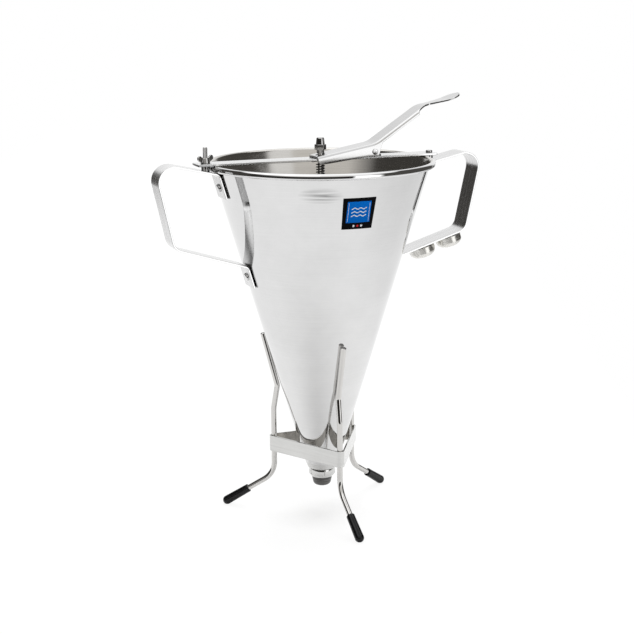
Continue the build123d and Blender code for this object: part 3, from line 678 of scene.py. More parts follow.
def make_piece(name, bm, body, nodes, finish, crease=32.0, second=None, chosen=toward_axis, even=True):
    """Turn a bmesh into a piece that rides on a body and stands for its CAD nodes.

    Finishes are given by name, and chosen faces get the second one. Edges that turn by more than the
    crease, in degrees, are sharp.
    """
    bmesh.ops.remove_doubles(bm, verts=bm.verts[:], dist=MERGE_DISTANCE)
    bmesh.ops.recalc_face_normals(bm, faces=bm.faces[:])
    for face in bm.faces:
        face.smooth = True
        if second and chosen(face):
            face.material_index = 1
    for edge in bm.edges:
        edge.smooth = edge.calc_face_angle(0) < math.radians(crease)
    mesh = bpy.data.meshes.new(name)
    bm.to_mesh(mesh)
    bm.free()
    mesh.materials.append(make_finish(finish))
    if second:
        mesh.materials.append(make_finish(second))
    piece = bpy.data.objects.new(name, mesh)
    bpy.context.scene.collection.objects.link(piece)
    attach(piece, body)
    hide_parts(*nodes)
    if even:
        even_shading(piece)
    return piece


def even_shading(piece):
    """Let the broad faces lead the shading of the narrow ones beside them."""
    modifier = piece.modifiers.new("Even shading", "WEIGHTED_NORMAL")
    modifier.keep_sharp = True


# Finishes


def make_finish(name):
    """A finish by its name, made the first time that it is asked for."""
    finish = bpy.data.materials.get(name)
    if not finish:
        finish = bpy.data.materials.new(name)
        finish.use_nodes = True
        FINISHES[name](finish.node_tree, bpy.context.scene.sauce_funnel)
    return finish


def join(tree, value, socket):
    """Link a value to a socket, or set the socket to a constant."""
    if isinstance(value, NodeSocket):
        tree.links.new(value, socket)
    else:
        socket.default_value = value


def feed(tree, node, **inputs):
    """Give some of a node's inputs their links or constants."""
    for key, value in inputs.items():
        join(tree, value, node.inputs[key.replace("_", " ")])


def add(tree, kind, settings=None, **inputs):
    """A node, with some of its own settings and of its inputs."""
    node = tree.nodes.new(kind)
    for key, value in (settings or {}).items():
        setattr(node, key, value)
    feed(tree, node, **inputs)
    return node


def math_node(tree, operation, first, second=None):
    """The result of one sum."""
    node = add(tree, "ShaderNodeMath", {"operation": operation})
    join(tree, first, node.inputs[0])
    if second is not None:
        join(tree, second, node.inputs[1])
    return node.outputs[0]


def times(tree, first, second):
    """One value times another."""
    return math_node(tree, "MULTIPLY", first, second)


def most(tree, first, second):
    """The larger of two values."""
    return math_node(tree, "MAXIMUM", first, second)


def own_place(tree):
    """A point's place in its piece's own frame."""
    return add(tree, "ShaderNodeTexCoord").outputs["Object"]


def grain(tree, scale, detail, turn=(0, 0, 0)):
    """Noise in the piece's own place, stretched along its grain."""
    mapping = add(tree, "ShaderNodeMapping", Vector=own_place(tree), Rotation=turn, Scale=scale)
    noise = add(
        tree, "ShaderNodeTexNoise", Vector=mapping.outputs[0], Scale=1.0, Detail=detail,
        Roughness=NOISE_ROUGHNESS,
    )
    return noise.outputs["Fac"]


def ramp(tree, value, span, to_low=0.0, to_high=1.0):
    """A value carried from a span to another range, and held beyond it."""
    node = add(
        tree, "ShaderNodeMapRange", {"clamp": True},
        Value=value, From_Min=span[0], From_Max=span[1], To_Min=to_low, To_Max=to_high,
    )
    return node.outputs[0]


def blend_colours(tree, factor, first, second):
    """One colour or another, by a factor."""
    node = add(tree, "ShaderNodeMix", {"data_type": "RGBA"})
    for index, value in ((0, factor), (6, first), (7, second)):
        join(tree, value, node.inputs[index])
    return node.outputs[2]


def bump(tree, height, distance, strength=1.0):
    """Normal of a surface with fine relief."""
    return add(tree, "ShaderNodeBump", Strength=strength, Distance=distance, Height=height).outputs[0]


def opaque(rgb, gain=1.0):
    """Four numbers from a colour, lighter or darker by a gain."""
    return tuple(min(1.0, c * gain) for c in rgb) + (1.0,)


class Steel(NamedTuple):
    """How a steel looks: a colour, its roughness and its lines, which are noise of a scale and a depth.

    The lines vary the roughness by the spread and the colour by the streak. A direction across the lines
    draws out the highlights, which are turned along them. Leaning lines follow the spares' lean.
    """

    colour: str
    roughness: float
    lines: tuple
    depth: float
    spread: float = 0.05
    streak: float = 0.02
    across: tuple = None
    along: float = 0.0
    leaning: bool = False
    smeared: bool = False

    def __call__(self, tree, settings):
        """Fill a finish's nodes: the fine lines of polishing, and faint clouds from handling."""
        rgb = getattr(settings.finishes, self.colour)
        fine = grain(tree, self.lines, detail=3.0, turn=(0, settings.handles.low_rise * self.leaning, 0))
        clouds = grain(tree, CLOUD_SCALE, detail=4.0)
        cloudy = ramp(tree, clouds, CLOUD_SPAN)
        dull, bright = [
            blend_colours(tree, cloudy, opaque(rgb, CLOUD_DARK + change), opaque(rgb, CLOUD_LIGHT + change))
            for change in (-self.streak, self.streak)
        ]
        tint = blend_colours(tree, ramp(tree, fine, LINE_SPAN), dull, bright)
        if self.smeared:
            tint = smear(tree, settings.finishes, tint)
        half, less = self.spread / 2, self.spread * CLOUD_SHARE
        lined = ramp(tree, fine, NOISE_SPAN, self.roughness - half, self.roughness + half)
        rough = math_node(tree, "ADD", lined, ramp(tree, clouds, NOISE_SPAN, -less, less))
        shader = tree.nodes["Principled BSDF"]
        feed(
            tree, shader, Base_Color=tint, Metallic=1.0, Roughness=most(tree, rough, LEAST_ROUGHNESS),
            Normal=bump(tree, fine, self.depth),
        )
        if self.across:
            tangent = add(tree, "ShaderNodeVectorMath", {"operation": "CROSS_PRODUCT"})
            join(tree, add(tree, "ShaderNodeNewGeometry").outputs["Normal"], tangent.inputs[0])
            join(tree, self.across, tangent.inputs[1])
            feed(
                tree, shader, Tangent=tangent.outputs[0], Anisotropic=ANISOTROPY,
                Anisotropic_Rotation=self.along,
            )


def smear(tree, finishes, tint):
    """The steel's colour with a few dark lines that the polishing wheel left, on the front under the rim."""
    near = add(
        tree, "ShaderNodeMapping", {"vector_type": "TEXTURE"}, Vector=own_place(tree),
        Location=finishes.smear_place, Rotation=(0, 0, finishes.smear_turn), Scale=finishes.smear_size,
    )
    away = add(tree, "ShaderNodeVectorMath", {"operation": "LENGTH"}, Vector=near.outputs[0])
    lines = ramp(tree, grain(tree, scale=(14, 14, 420), detail=2.0), SMEAR_SPAN)
    fading = ramp(tree, away.outputs["Value"], SMEAR_FADE, 1, 0)
    return blend_colours(
        tree, times(tree, fading, lines), tint, opaque(finishes.steel, finishes.smear_gain),
    )


def black_rubber(tree, settings):
    """Glossy dipped rubber with a faint uneven skin."""
    skin = grain(tree, scale=(420, 420, 420), detail=4.0)
    dust = grain(tree, scale=(1500, 1500, 1500), detail=2.0)
    rgb = settings.finishes.rubber
    dark, pale = opaque(rgb), opaque(rgb, gain=2.2)
    feed(
        tree, tree.nodes["Principled BSDF"], Specular_IOR_Level=0.27,
        Base_Color=blend_colours(tree, ramp(tree, skin, SKIN_SPAN), dark, pale),
        Roughness=ramp(tree, skin, NOISE_SPAN, to_low=0.14, to_high=0.24),
        Normal=bump(tree, dust, distance=0.0002, strength=0.12),
    )


def within(tree, value, middle, half):
    """1 where a value is within a distance of a middle, else 0."""
    away = math_node(tree, "ABSOLUTE", math_node(tree, "SUBTRACT", value, middle))
    return math_node(tree, "LESS_THAN", away, half)


def printed_plate(tree, settings):
    """Printed plate: a blue field in a black border, with three waves and a row of dots."""
    finishes, size = settings.finishes, settings.plate
    longer = 1 / math.cos(cone_tilt(settings.funnel))
    mapping = add(
        tree, "ShaderNodeMapping", Vector=own_place(tree), Location=(0, 0, -size.height * longer),
        Scale=(1, 1, longer),
    )
    axes = add(tree, "ShaderNodeSeparateXYZ", Vector=mapping.outputs[0])
    u, v = axes.outputs["X"], axes.outputs["Z"]
    up = within(tree, v, size.middle, size.field_up)
    field = times(tree, within(tree, u, 0.0, size.field_across), up)
    wave = math_node(tree, "SINE", times(tree, u, FULL_TURN / size.wave_length))
    swell = math_node(tree, "SUBTRACT", v, times(tree, wave, size.wave_swell))
    waves = within(tree, swell, size.middle, size.wave_line)
    for lift in (size.wave_gap, -size.wave_gap):
        waves = most(tree, waves, within(tree, swell, size.middle + lift, size.wave_line))
    waves = times(tree, waves, within(tree, u, 0.0, size.wave_across))
    inside_rules = within(tree, u, 0.0, size.rule_across - size.rule)
    rules = math_node(tree, "SUBTRACT", within(tree, u, 0.0, size.rule_across), inside_rules)
    rules = times(tree, rules, within(tree, v, size.middle, size.rule_up))
    left, red, right = [dot(tree, u, v, place, size) for place in (-size.dot_gap, 0.0, size.dot_gap)]
    marks = most(tree, most(tree, waves, rules), most(tree, left, right))
    span = (size.middle - size.field_up, size.middle + size.field_up)
    low_blue, high_blue = [opaque(finishes.plate_blue, gain) for gain in (0.9, 1.12)]
    blue = blend_colours(tree, ramp(tree, v, span), low_blue, high_blue)
    tint = blend_colours(tree, field, opaque(finishes.plate_black), blue)
    tint = blend_colours(tree, marks, tint, opaque(finishes.plate_white))
    tint = blend_colours(tree, red, tint, opaque(finishes.plate_red))
    print_grain = grain(tree, scale=(900, 900, 900), detail=3.0)
    feed(
        tree, tree.nodes["Principled BSDF"], Base_Color=tint, Specular_IOR_Level=0.02,
        Roughness=ramp(tree, print_grain, NOISE_SPAN, to_low=0.30, to_high=0.42),
        Normal=bump(tree, print_grain, distance=0.0001, strength=0.05),
    )


def dot(tree, u, v, place, size):
    """1 within a round dot under the plate's field, else 0."""
    across = math_node(tree, "POWER", math_node(tree, "SUBTRACT", u, place), 2.0)
    up = math_node(tree, "POWER", math_node(tree, "ADD", v, size.dot_drop), 2.0)
    return math_node(tree, "LESS_THAN", math_node(tree, "ADD", across, up), size.dot_radius ** 2)


FINISHES = {
    # The cone's mirror polish, with spun lines round the axis
    "spun_polish": Steel("steel", roughness=0.03, lines=(18, 18, 2400), depth=2e-6, smeared=True),
    # The funnel's inside, brushed more coarsely than its outside
    "spun_inside": Steel(
        "inside", roughness=0.16, lines=(14, 14, 900), depth=8e-6, spread=0.08, streak=0.05,
    ),
    # Brushed straps, with lines along them
    "strap_brushed": Steel(
        "steel", roughness=0.22, lines=(9, 420, 9), depth=3e-5, spread=0.04, streak=0.12,
        across=(0.02, 1, 0.01),
    ),
    # Brushed sheet of the lever, a little greyer than the straps
    "lever_brushed": Steel(
        "lever", roughness=0.12, lines=(9, 420, 9), depth=5e-5, spread=0.06, streak=0.06,
    ),
    # Turned pieces, with lines round an upright axis
    "turned_finish": Steel(
        "bright_steel", roughness=0.09, lines=(60, 60, 3800), depth=6e-6, spread=0.10, streak=0.05,
    ),
    # The fitted nozzle's tip under its ring, with coarse turned lines, in the spring wire's dark colour as
    # painted shade under the ring
    "tip_finish": Steel(
        "spring", roughness=0.14, lines=(60, 60, 1100), depth=1.2e-5, spread=0.10, streak=0.30,
    ),
    # Turned spare nozzles and their bosses, with lines round their leaning axis
    "spare_finish": Steel(
        "satin", roughness=0.30, lines=(40, 40, 900), depth=5e-7, spread=0.06, streak=0.05,
        leaning=True, across=(-0.30, 0.02, 0.955), along=0.25,
    ),
    # Drawn rod of the legs and the piston
    "drawn_finish": Steel("rod", roughness=0.05, lines=(900, 900, 20), depth=4e-6, spread=0.08),
    # Strip of the stand's band, with lines along it
    "band_finish": Steel(
        "bright_steel", roughness=0.11, lines=(16, 16, 1300), depth=5e-6, spread=0.10, streak=0.05,
    ),
    # Unpolished inner side of the band, darkened further with painted shade where it faces the cone
    "band_mill_finish": Steel(
        "band_inside", roughness=0.14, lines=(16, 16, 1300), depth=5e-6, spread=0.10, streak=0.08,
    ),
    # Plated nuts and studs
    "plated_finish": Steel(
        "dark_steel", roughness=0.12, lines=(700, 700, 1600), depth=6e-6, spread=0.10, streak=0.08,
    ),
    # Dark wire of the return spring and the legs' cut ends, also painted shade on the pivot's bracket under
    # the lever
    "wire_finish": Steel(
        "spring", roughness=0.26, lines=(900, 900, 900), depth=6e-6, spread=0.12, streak=0.1,
    ),
    # Dipped rubber of the feet
    "dipped_rubber": black_rubber,
    # Printed plate on the cone's front
    "plate_print": printed_plate,
}


# Shapes that several pieces share


def meet(point, rise, other, other_rise):
    """Where two lines cross in the XZ plane, each given by a point and its rise."""
    way, other_way = slope(rise), slope(other_rise)
    off = other - point
    reach = (off.x * other_way.z - off.z * other_way.x) / (way.x * other_way.z - way.z * other_way.x)
    return point + way * reach


def slope(rise):
    """Direction in the XZ plane with a given rise."""
    return Vector((math.cos(rise), 0, math.sin(rise)))


def cone_tilt(size):
    """Lean of the cone's side, which runs into the rim's curl."""
    run, rise = size.rim_radius - size.foot_radius, size.rim_height - size.foot_height
    return math.atan2(run, rise) - math.asin((size.curl_radius - size.sheet) / math.hypot(run, rise))


def cone_outer(size, height):
    """Outside radius of the cone at a height."""
    return size.foot_radius + (height - size.foot_height) * math.tan(cone_tilt(size))


def off_cone(size, height, gap):
    """A point at a gap from the cone, measured level from the cone at a height."""
    return Vector((cone_outer(size, height) + gap / math.cos(cone_tilt(size)), 0, height))


def handle_line(settings):
    """Corners of the right handle's line, in the middle of the strap."""
    size, funnel = settings.handles, settings.funnel
    top, low, end = [
        off_cone(funnel, height, size.seat_gap + size.strap / 2)
        for height in (size.tab_top, size.low_height, size.tab_low)
    ]
    run = strap_top(settings) - UP * (size.strap / 2 / math.cos(size.run_rise))
    grip = Vector((size.grip_reach, 0, size.grip_height))
    grip_rise = QUARTER_TURN - size.grip_lean
    return [
        top,
        meet(top, QUARTER_TURN - cone_tilt(funnel), run, size.run_rise),
        meet(run, size.run_rise, grip, grip_rise),
        meet(grip, grip_rise, low, size.low_rise),
        low,
        end,
    ]


def strap_top(settings):
    """A point on the upper face of the handle's upper run, under the rim."""
    size, funnel = settings.handles, settings.funnel
    drop = (funnel.curl_radius + size.rim_gap) / math.cos(size.run_rise)
    return Vector((funnel.rim_radius, 0, funnel.rim_height - drop))


def spare_place(settings, inward):
    """Where a spare's boss stands under the lower run, at a distance from the run's outer corner."""
    size = settings.handles
    run = slope(size.low_rise)
    return handle_line(settings)[3] - run * inward + ACROSS.cross(run) * (size.strap / 2)


def lever_line(settings):
    """Corners of the line in the middle of the lever's web."""
    size, bar = settings.lever, settings.crossbar
    foot = bar.foot + bar.bar + size.rest_gap
    line = [Vector((-size.nose, 0, foot + size.sheet / 2 / math.cos(size.channel_rise)))]
    for run, rise in (
        (size.nose_to_bend, size.channel_rise), (size.bend_to_neck, size.arm_rise),
        (size.neck_to_pad, size.neck_rise), (size.pad_run, size.pad_rise),
    ):
        line.append(line[-1] + slope(rise) * (run / math.cos(rise)))
    return line


def pivot_point(settings):
    """The middle of the lever's pivot."""
    size, bar = settings.lever, settings.crossbar
    reach = size.nose_to_bend - size.nose - size.pivot_to_bend
    return Vector((reach, 0, bar.foot + bar.bar + size.sheet + size.pin_floor_gap + size.pin_radius))


def nut_seat(settings):
    """Height of the cap nut's foot, just above the lever's web."""
    size, lever = settings.piston, settings.lever
    nose = lever_line(settings)[0]
    web = nose.z + (size.nut_collar_radius - nose.x) * math.tan(lever.channel_rise)
    return web + lever.sheet / 2 / math.cos(lever.channel_rise) + size.lift_gap


def leg_ring(settings):
    """From the axis to the upright part of each leg."""
    size = settings.stand
    reach = cone_outer(settings.funnel, size.band_foot + size.band_height) + size.band_gap
    return (reach - size.leg_radius - size.band_fit) / math.cos(FULL_TURN / 6)


def leg_line(settings):
    """Corners of a leg's line, from the end of its arm to its foot."""
    size, funnel = settings.stand, settings.funnel
    ring = leg_ring(settings)
    gap = size.leg_radius + size.rest_gap
    return [
        off_cone(funnel, size.arm_top, gap),
        off_cone(funnel, size.arm_foot, gap) + Vector((size.stand_off, 0, 0)),
        Vector((ring, 0, size.straight_top)),
        Vector((ring, 0, size.knee)),
        Vector((ring + size.splay, 0, size.cap_radius - size.cap_flat)),
    ]


def spare_shape(size, edges, mouth_radius):
    """A spare nozzle that hangs from its top face at the origin."""
    thread = size.spigot_radius + size.thread_fit
    shoulder = size.nozzle_gap - size.spigot_length - size.shoulder_gap
    points = [
        (thread, 0), (size.ring_radius, 0), (size.ring_radius, -size.spare_side),
        (size.spare_foot_radius, -size.spare_height), (mouth_radius, -size.spare_height),
        (mouth_radius, shoulder), (thread, shoulder),
    ]
    rounded = {1: edges.broad, 2: size.spare_rounding, 3: size.spare_rounding, 4: size.spare_lip}
    return turned(points, rounded, steps=128)


def leg_angles(size):
    """The direction of each leg."""
    step = FULL_TURN / 3
    return {"front": size.front_leg, "right": size.front_leg + step, "left": size.front_leg + 2 * step}


def lever_height(settings, x):
    """Height and rise of the middle of the lever's web."""
    line, size = lever_line(settings), settings.lever
    bends = (size.bend_radius, size.neck_radius, size.pad_radius)
    for before, corner, after, radius in zip(line, line[1:], line[2:], bends):
        rise_in = math.atan2(corner.z - before.z, corner.x - before.x)
        rise_out = math.atan2(after.z - corner.z, after.x - corner.x)
        side = math.copysign(1.0, rise_out - rise_in)
        reach = radius * math.tan(abs(rise_out - rise_in) / 2)
        start = corner - slope(rise_in) * reach
        if x < start.x:
            return before.z + (x - before.x) * math.tan(rise_in), rise_in
        if x <= corner.x + reach * math.cos(rise_out):
            off = x - start.x + side * radius * math.sin(rise_in)
            middle = start.z + side * radius * math.cos(rise_in)
            return middle - side * math.sqrt(radius ** 2 - off ** 2), side * math.asin(off / radius)
    return line[-2].z + (x - line[-2].x) * math.tan(size.pad_rise), size.pad_rise


def lever_skirt(settings):
    """Lower edge of the lever's flanges, from the side."""
    size = settings.lever
    line, pivot = lever_line(settings), pivot_point(settings)
    half = size.sheet / 2
    nose = line[0] - slope(size.channel_rise) * (size.nose / math.cos(size.channel_rise))
    nose += UP * (half / math.cos(size.channel_rise) - size.nose_flange)
    ear = Vector((size.ear_radius, 0, 0))
    ear_foot = pivot - UP * size.ear_radius
    lip = UP * ((half - size.lip_depth) / math.cos(size.arm_rise))
    arm = slope(size.arm_rise)
    return [
        nose, ear_foot - ear, ear_foot + ear, line[1] + lip + arm * (2 * size.ear_radius),
        line[2] + lip, line[2] + lip + arm * size.bend_to_neck,
    ]


def skirt_depth(settings, x):
    """How far the lever's flange reaches below the middle of its web."""
    edge = lever_skirt(settings)
    z, rise = lever_height(settings, x)
    low, high = 0.0, settings.lever.width
    for halving in range(HALVINGS):
        depth = (low + high) / 2
        at = x + depth * math.sin(rise)
        a, b = next((pair for pair in zip(edge, edge[1:]) if at <= pair[1].x), edge[-2:])
        foot = a.z + (b.z - a.z) * (at - a.x) / (b.x - a.x)
        if z - depth * math.cos(rise) > foot:
            low = depth
        else:
            high = depth
    return low


def lever_half_width(settings, x):
    """Half the lever's width from above."""
    size, line = settings.lever, lever_line(settings)
    tip = line[-1].x - size.pad
    neck_at, taper_at = line[2].x + size.neck_trail, line[2].x - size.taper_lead
    lean = math.asin((size.pad - size.neck) / (tip - neck_at))
    touch = tip - size.pad * math.sin(lean)
    if x <= taper_at:
        return size.width / 2
    if x >= touch:
        return math.sqrt(max(0.0, size.pad ** 2 - (x - tip) ** 2))
    flare = size.pad * math.cos(lean) - (touch - x) * math.tan(lean)
    taper = size.width / 2 + (size.neck - size.width / 2) * (x - taper_at) / (neck_at - taper_at)
    return max(flare, taper) if x < neck_at else flare


def lever_stations(settings):
    """Places along the lever at which its sheet is shaped, closer together at its ends."""
    size = settings.lever
    start, end = -size.nose, lever_line(settings)[-1].x
    stations = [start + size.step * part for part in NOSE_STEPS] + [-size.slot_end, 0.0, size.slot_end]
    stations += [end - size.step * part for part in TIP_STEPS]
    stations += [corner.x for corner in lever_skirt(settings)[1:4]]
    for count in range(1, round((end - start) / size.step)):
        x = start + count * size.step
        if abs(x) > size.slot_end and min(abs(x - kept) for kept in stations) > size.step / 2:
            stations.append(x)
    return sorted(stations)


# Operators


class PieceOperator(Operator):
    """Shared parts of the operators that build pieces"""

    bl_options = {"REGISTER", "UNDO"}


class SAUCE_OT_funnel(PieceOperator):
    """Build the cone with its rolled rim, and the outlet socket under it"""

    bl_idname = "sauce.funnel"
    bl_label = "Funnel"

    def execute(self, context):
        settings = context.scene.sauce_funnel
        size, outlet = settings.funnel, settings.outlet
        tilt = cone_tilt(size)
        wall = size.sheet / math.cos(tilt)
        centre = Vector((size.rim_radius, 0, size.rim_height))
        lean = Vector((-math.cos(tilt), 0, math.sin(tilt)))
        hollow = centre + lean * (size.curl_radius - size.sheet)
        outside = centre + lean * size.curl_radius
        beside = Vector((math.sin(tilt), 0, math.cos(tilt))) * size.loop_gap
        foot = Vector((size.foot_radius, 0, size.foot_height))
        inner_foot = foot - Vector((wall, 0, 0))
        points = [hollow, hollow - beside, (hollow + foot) / 2, foot + beside, foot, inner_foot]
        points += [inner_foot + beside, (outside + inner_foot) / 2, outside - beside, outside]
        bm, verts = wire([(p.x, p.z) for p in points], closed=False)
        ends = []
        for vert, steps in ((verts[0], 24), (verts[-1], 40)):
            made = bmesh.ops.spin(
                bm, geom=[vert], cent=centre, axis=ACROSS, angle=size.curl_turn, steps=steps,
            )
            ends += only(BMVert, made["geom_last"])
        bm.edges.new(ends)
        for vert in bm.verts:
            vert.co.x = min(vert.co.x, size.rim_radius + size.curl_radius - size.curl_flat)
        turn_round(bm, steps=256)
        make_piece(
            "cone_shell", bm, "funnel", ["funnel_cone"], "spun_polish",
            second="spun_inside", even=False,
        )

        spigot_foot = outlet.socket_foot - outlet.spigot_length
        edge = settings.edges.medium
        socket = turned([
            (size.foot_radius - wall, size.foot_height), (size.foot_radius, size.foot_height),
            (outlet.socket_radius, outlet.socket_foot), (outlet.spigot_radius, outlet.socket_foot),
            (outlet.spigot_radius, spigot_foot), (outlet.bore_radius, spigot_foot),
            (outlet.bore_radius, outlet.seat_foot),
        ], {2: edge, 4: edge}, steps=128)
        make_piece("outlet_ring", socket, "funnel", ["outlet_socket"], "turned_finish")
        return {"FINISHED"}


class SAUCE_OT_handles(PieceOperator):
    """Build the two strap handles and their rivets"""

    bl_idname = "sauce.handles"
    bl_label = "Handles"

    def execute(self, context):
        settings = context.scene.sauce_funnel
        size, funnel = settings.handles, settings.funnel
        line = handle_line(settings)
        bends = (size.tab_bend, size.top_bend, size.low_bend, size.tab_bend)
        place = facing(line[0], ACROSS, line[1] - line[0])
        for name, side in SIDES.items():
            strap = run_out(strip_section(size.width, size.strap, size.edge, place), line, bends)
            make_piece(
                "strap_" + name, mirror(strap, side), "funnel", ["handle_" + name], "strap_brushed",
                second="spun_polish", chosen=cut_edge,
            )

        tilt = cone_tilt(funnel)
        out = Vector((math.cos(tilt), 0, -math.sin(tilt)))
        grip = size.strap + size.seat_gap + funnel.sheet + size.tail_gap
        tail = grip + size.tail_height
        rivets = bmesh.new()
        for tab_end in (size.tab_top, size.tab_low):
            seat = off_cone(funnel, tab_end + size.rivet_inset, 0) + out * (size.seat_gap + size.strap)
            for side in SIDES.values():
                rivet = turned([
                    (0, size.head_height), (size.head_radius, size.head_height), (size.head_radius, 0),
                    (size.rivet_radius, 0), (size.rivet_radius, -grip), (size.tail_radius, -grip),
                    (size.tail_radius, -tail), (0, -tail),
                ], {1: size.head_rounding}, steps=40, closed=False)
                shift(rivet, facing(seat, ACROSS, out))
                take_in(rivets, mirror(rivet, side))
        make_piece("rivet_heads", rivets, "funnel", ["handle_rivets"], "strap_brushed")
        return {"FINISHED"}


class SAUCE_OT_nozzles(PieceOperator):
    """Build the fitted nozzle, and the two spares with the bosses that hold them"""

    bl_idname = "sauce.nozzles"
    bl_label = "Nozzles"

    def execute(self, context):
        settings = context.scene.sauce_funnel
        size, edges = settings.outlet, settings.edges
        self.fitted_nozzle(size, edges)
        up = slope(settings.handles.low_rise + QUARTER_TURN)
        inward = size.ring_radius + size.spare_end_gap
        pitch = 2 * size.ring_radius + size.spare_gap
        for name, mouth_radius, reach in (
            ("inner", size.inner_mouth_radius, inward + pitch), ("outer", size.outer_mouth_radius, inward),
        ):
            hang = facing(spare_place(settings, reach), ACROSS, up)
            spare = spare_shape(size, edges, mouth_radius)
            shift(spare, hang @ Matrix.Translation((0, 0, -size.nozzle_gap)))
            node = "spare_nozzle_" + name
            make_piece("spare_" + name, spare, node, [node], "spare_finish")
            boss = round_bar(size.spigot_radius, 0, -size.spigot_length, {2: edges.broad}, steps=96)
            shift(boss, hang)
            make_piece("boss_" + name, boss, "funnel", ["nozzle_boss_" + name], "spare_finish")
        return {"FINISHED"}

    def fitted_nozzle(self, size, edges):
        """Grip ring on the outlet's thread, with a bowl-shaped tip under it."""
        thread = size.spigot_radius + size.thread_fit
        top = size.socket_foot - size.nozzle_gap
        foot = top - size.ring_height
        mouth = foot - size.tip_length
        shoulder = size.socket_foot - size.spigot_length - size.shoulder_gap
        points = [
            (thread, top), (size.ring_radius - size.neck_inset, top),
            (size.ring_radius, top - size.neck_height), (size.ring_radius, foot + size.ring_taper),
            (size.tip_radius + size.ring_step, foot), (size.tip_radius, foot), (size.lip_radius, mouth),
            (size.mouth_radius, mouth), (size.throat_radius, shoulder), (thread, shoulder),
        ]
        rounded = {
            1: edges.fine, 3: size.ring_rounding, 4: size.step_rounding, 6: size.lip_rounding, 7: edges.small,
        }

        def under_ring(face):
            """Whether a face belongs to the tip."""
            return face.calc_center_median().z < foot

        # The tip under the ring gets painted shade: a dark colour on steel that is as bright as the ring
        make_piece(
            "fitted_nozzle", turned(points, rounded, steps=128), "nozzle", ["nozzle"], "turned_finish",
            second="tip_finish", chosen=under_ring,
        )


class SAUCE_OT_crossbar(PieceOperator):
    """Build the crossbar, the studs that hold it and the wing nut"""

    bl_idname = "sauce.crossbar"
    bl_label = "Crossbar"

    def execute(self, context):
        settings = context.scene.sauce_funnel
        size = settings.crossbar
        half, slot = size.width / 2, size.stud_radius + size.stud_fit
        slot_end = size.stud_reach - slot
        outline = [
            (-size.clamp_end, -half), (size.hook_end, -half), (size.hook_end, -slot), (slot_end, -slot),
            (slot_end, slot), (size.hook_end, slot), (size.hook_end, half), (-size.clamp_end, half),
        ]
        corner, slot_corner = size.corner, slot * size.slot_round
        rounded = {0: corner, 1: corner, 3: slot_corner, 4: slot_corner, 6: corner, 7: corner}
        rod_hole = settings.piston.rod_radius + settings.piston.rod_fit
        bar = plate(outline, size.bar, size.edge, rounded, [(0, 0, rod_hole), (-size.stud_reach, 0, slot)])
        shift(bar, Matrix.Translation((0, 0, size.foot)))
        make_piece("cross_bar", bar, "funnel", ["crossbar"], "strap_brushed", even=False)
        self.studs(settings)
        self.wing_nut(settings)
        return {"FINISHED"}

    def studs(self, settings):
        """Clamp stud, its collar and the hook stud, which stand on the handles' sloping straps."""
        size, edge = settings.crossbar, settings.edges.small
        top = size.foot + size.bar
        deep = size.foot - size.width
        head = top + size.turning_gap
        bore = size.stud_radius + settings.piston.weld_gap
        post = turned(self.threaded_post(size, deep, top), steps=48, closed=False)
        ring = sleeve(bore, size.collar_radius, deep, size.foot, {2: edge}, steps=64)
        hook = turned([
            (0, deep), (size.collar_radius, deep), (size.collar_radius, size.foot),
            (size.stud_radius, size.foot), (size.stud_radius, head), (size.head_radius, head),
            (size.head_radius, head + size.head_height), (0, head + size.head_height),
        ], {2: edge, 5: edge, 6: size.head_rounding}, steps=64, closed=False)
        down = -slope(settings.handles.run_rise + QUARTER_TURN)
        for side, name, node, bm in (
            ("left", "clamp_post", "clamp_stud", post), ("left", "clamp_ring", "clamp_collar", ring),
            ("right", "hook_post", "hook_stud", hook),
        ):
            shift(bm, Matrix.Translation((size.stud_reach, 0, 0)))
            bmesh.ops.remove_doubles(bm, verts=bm.verts[:], dist=MERGE_DISTANCE)
            cut_away(bm, strap_top(settings), down)
            mirror(bm, SIDES[side])
            make_piece(name, bm, "funnel", [node], "plated_finish", crease=40.0)

    def threaded_post(self, size, deep, top):
        """Profile of the clamp stud, with its thread above the bar."""
        stud_top = top + size.clamp_height
        tip = 2 * size.thread
        points = [(0, deep), (size.stud_radius, deep), (size.stud_radius, size.foot)]
        turns = int((size.clamp_height - tip) / size.pitch)
        for turn in range(turns):
            height = stud_top - tip - (turns - turn) * size.pitch
            points += [(size.stud_radius, height), (size.stud_radius - size.thread, height + size.pitch / 2)]
        points += [(size.stud_radius, stud_top - tip), (size.stud_radius - tip, stud_top), (0, stud_top)]
        return points

    def wing_nut(self, settings):
        """Hub with two wings, on the clamp stud."""
        size, edges = settings.crossbar, settings.edges
        inner = size.stud_radius + settings.outlet.thread_fit
        nut = turned([
            (inner, 0), (size.hub_radius, 0), (size.hub_top_radius, size.hub_height),
            (inner, size.hub_height),
        ], {1: edges.medium, 2: edges.wide}, steps=64)
        root = (size.wing_root_reach, size.wing_root_height, size.wing_root_radius)
        tip = (size.wing_tip_reach, size.wing_tip_height, size.wing_tip_radius)
        for side in SIDES.values():
            take_in(nut, mirror(hull([root, tip], size.wing, edges.broad), side))
        seat = Matrix.Translation((-size.stud_reach, 0, size.foot + size.bar + size.turning_gap))
        shift(nut, seat @ Matrix.Rotation(size.wing_turn, 4, "Z"))
        make_piece("winged_nut", nut, "wing_nut", ["wing_nut"], "plated_finish", crease=50.0)


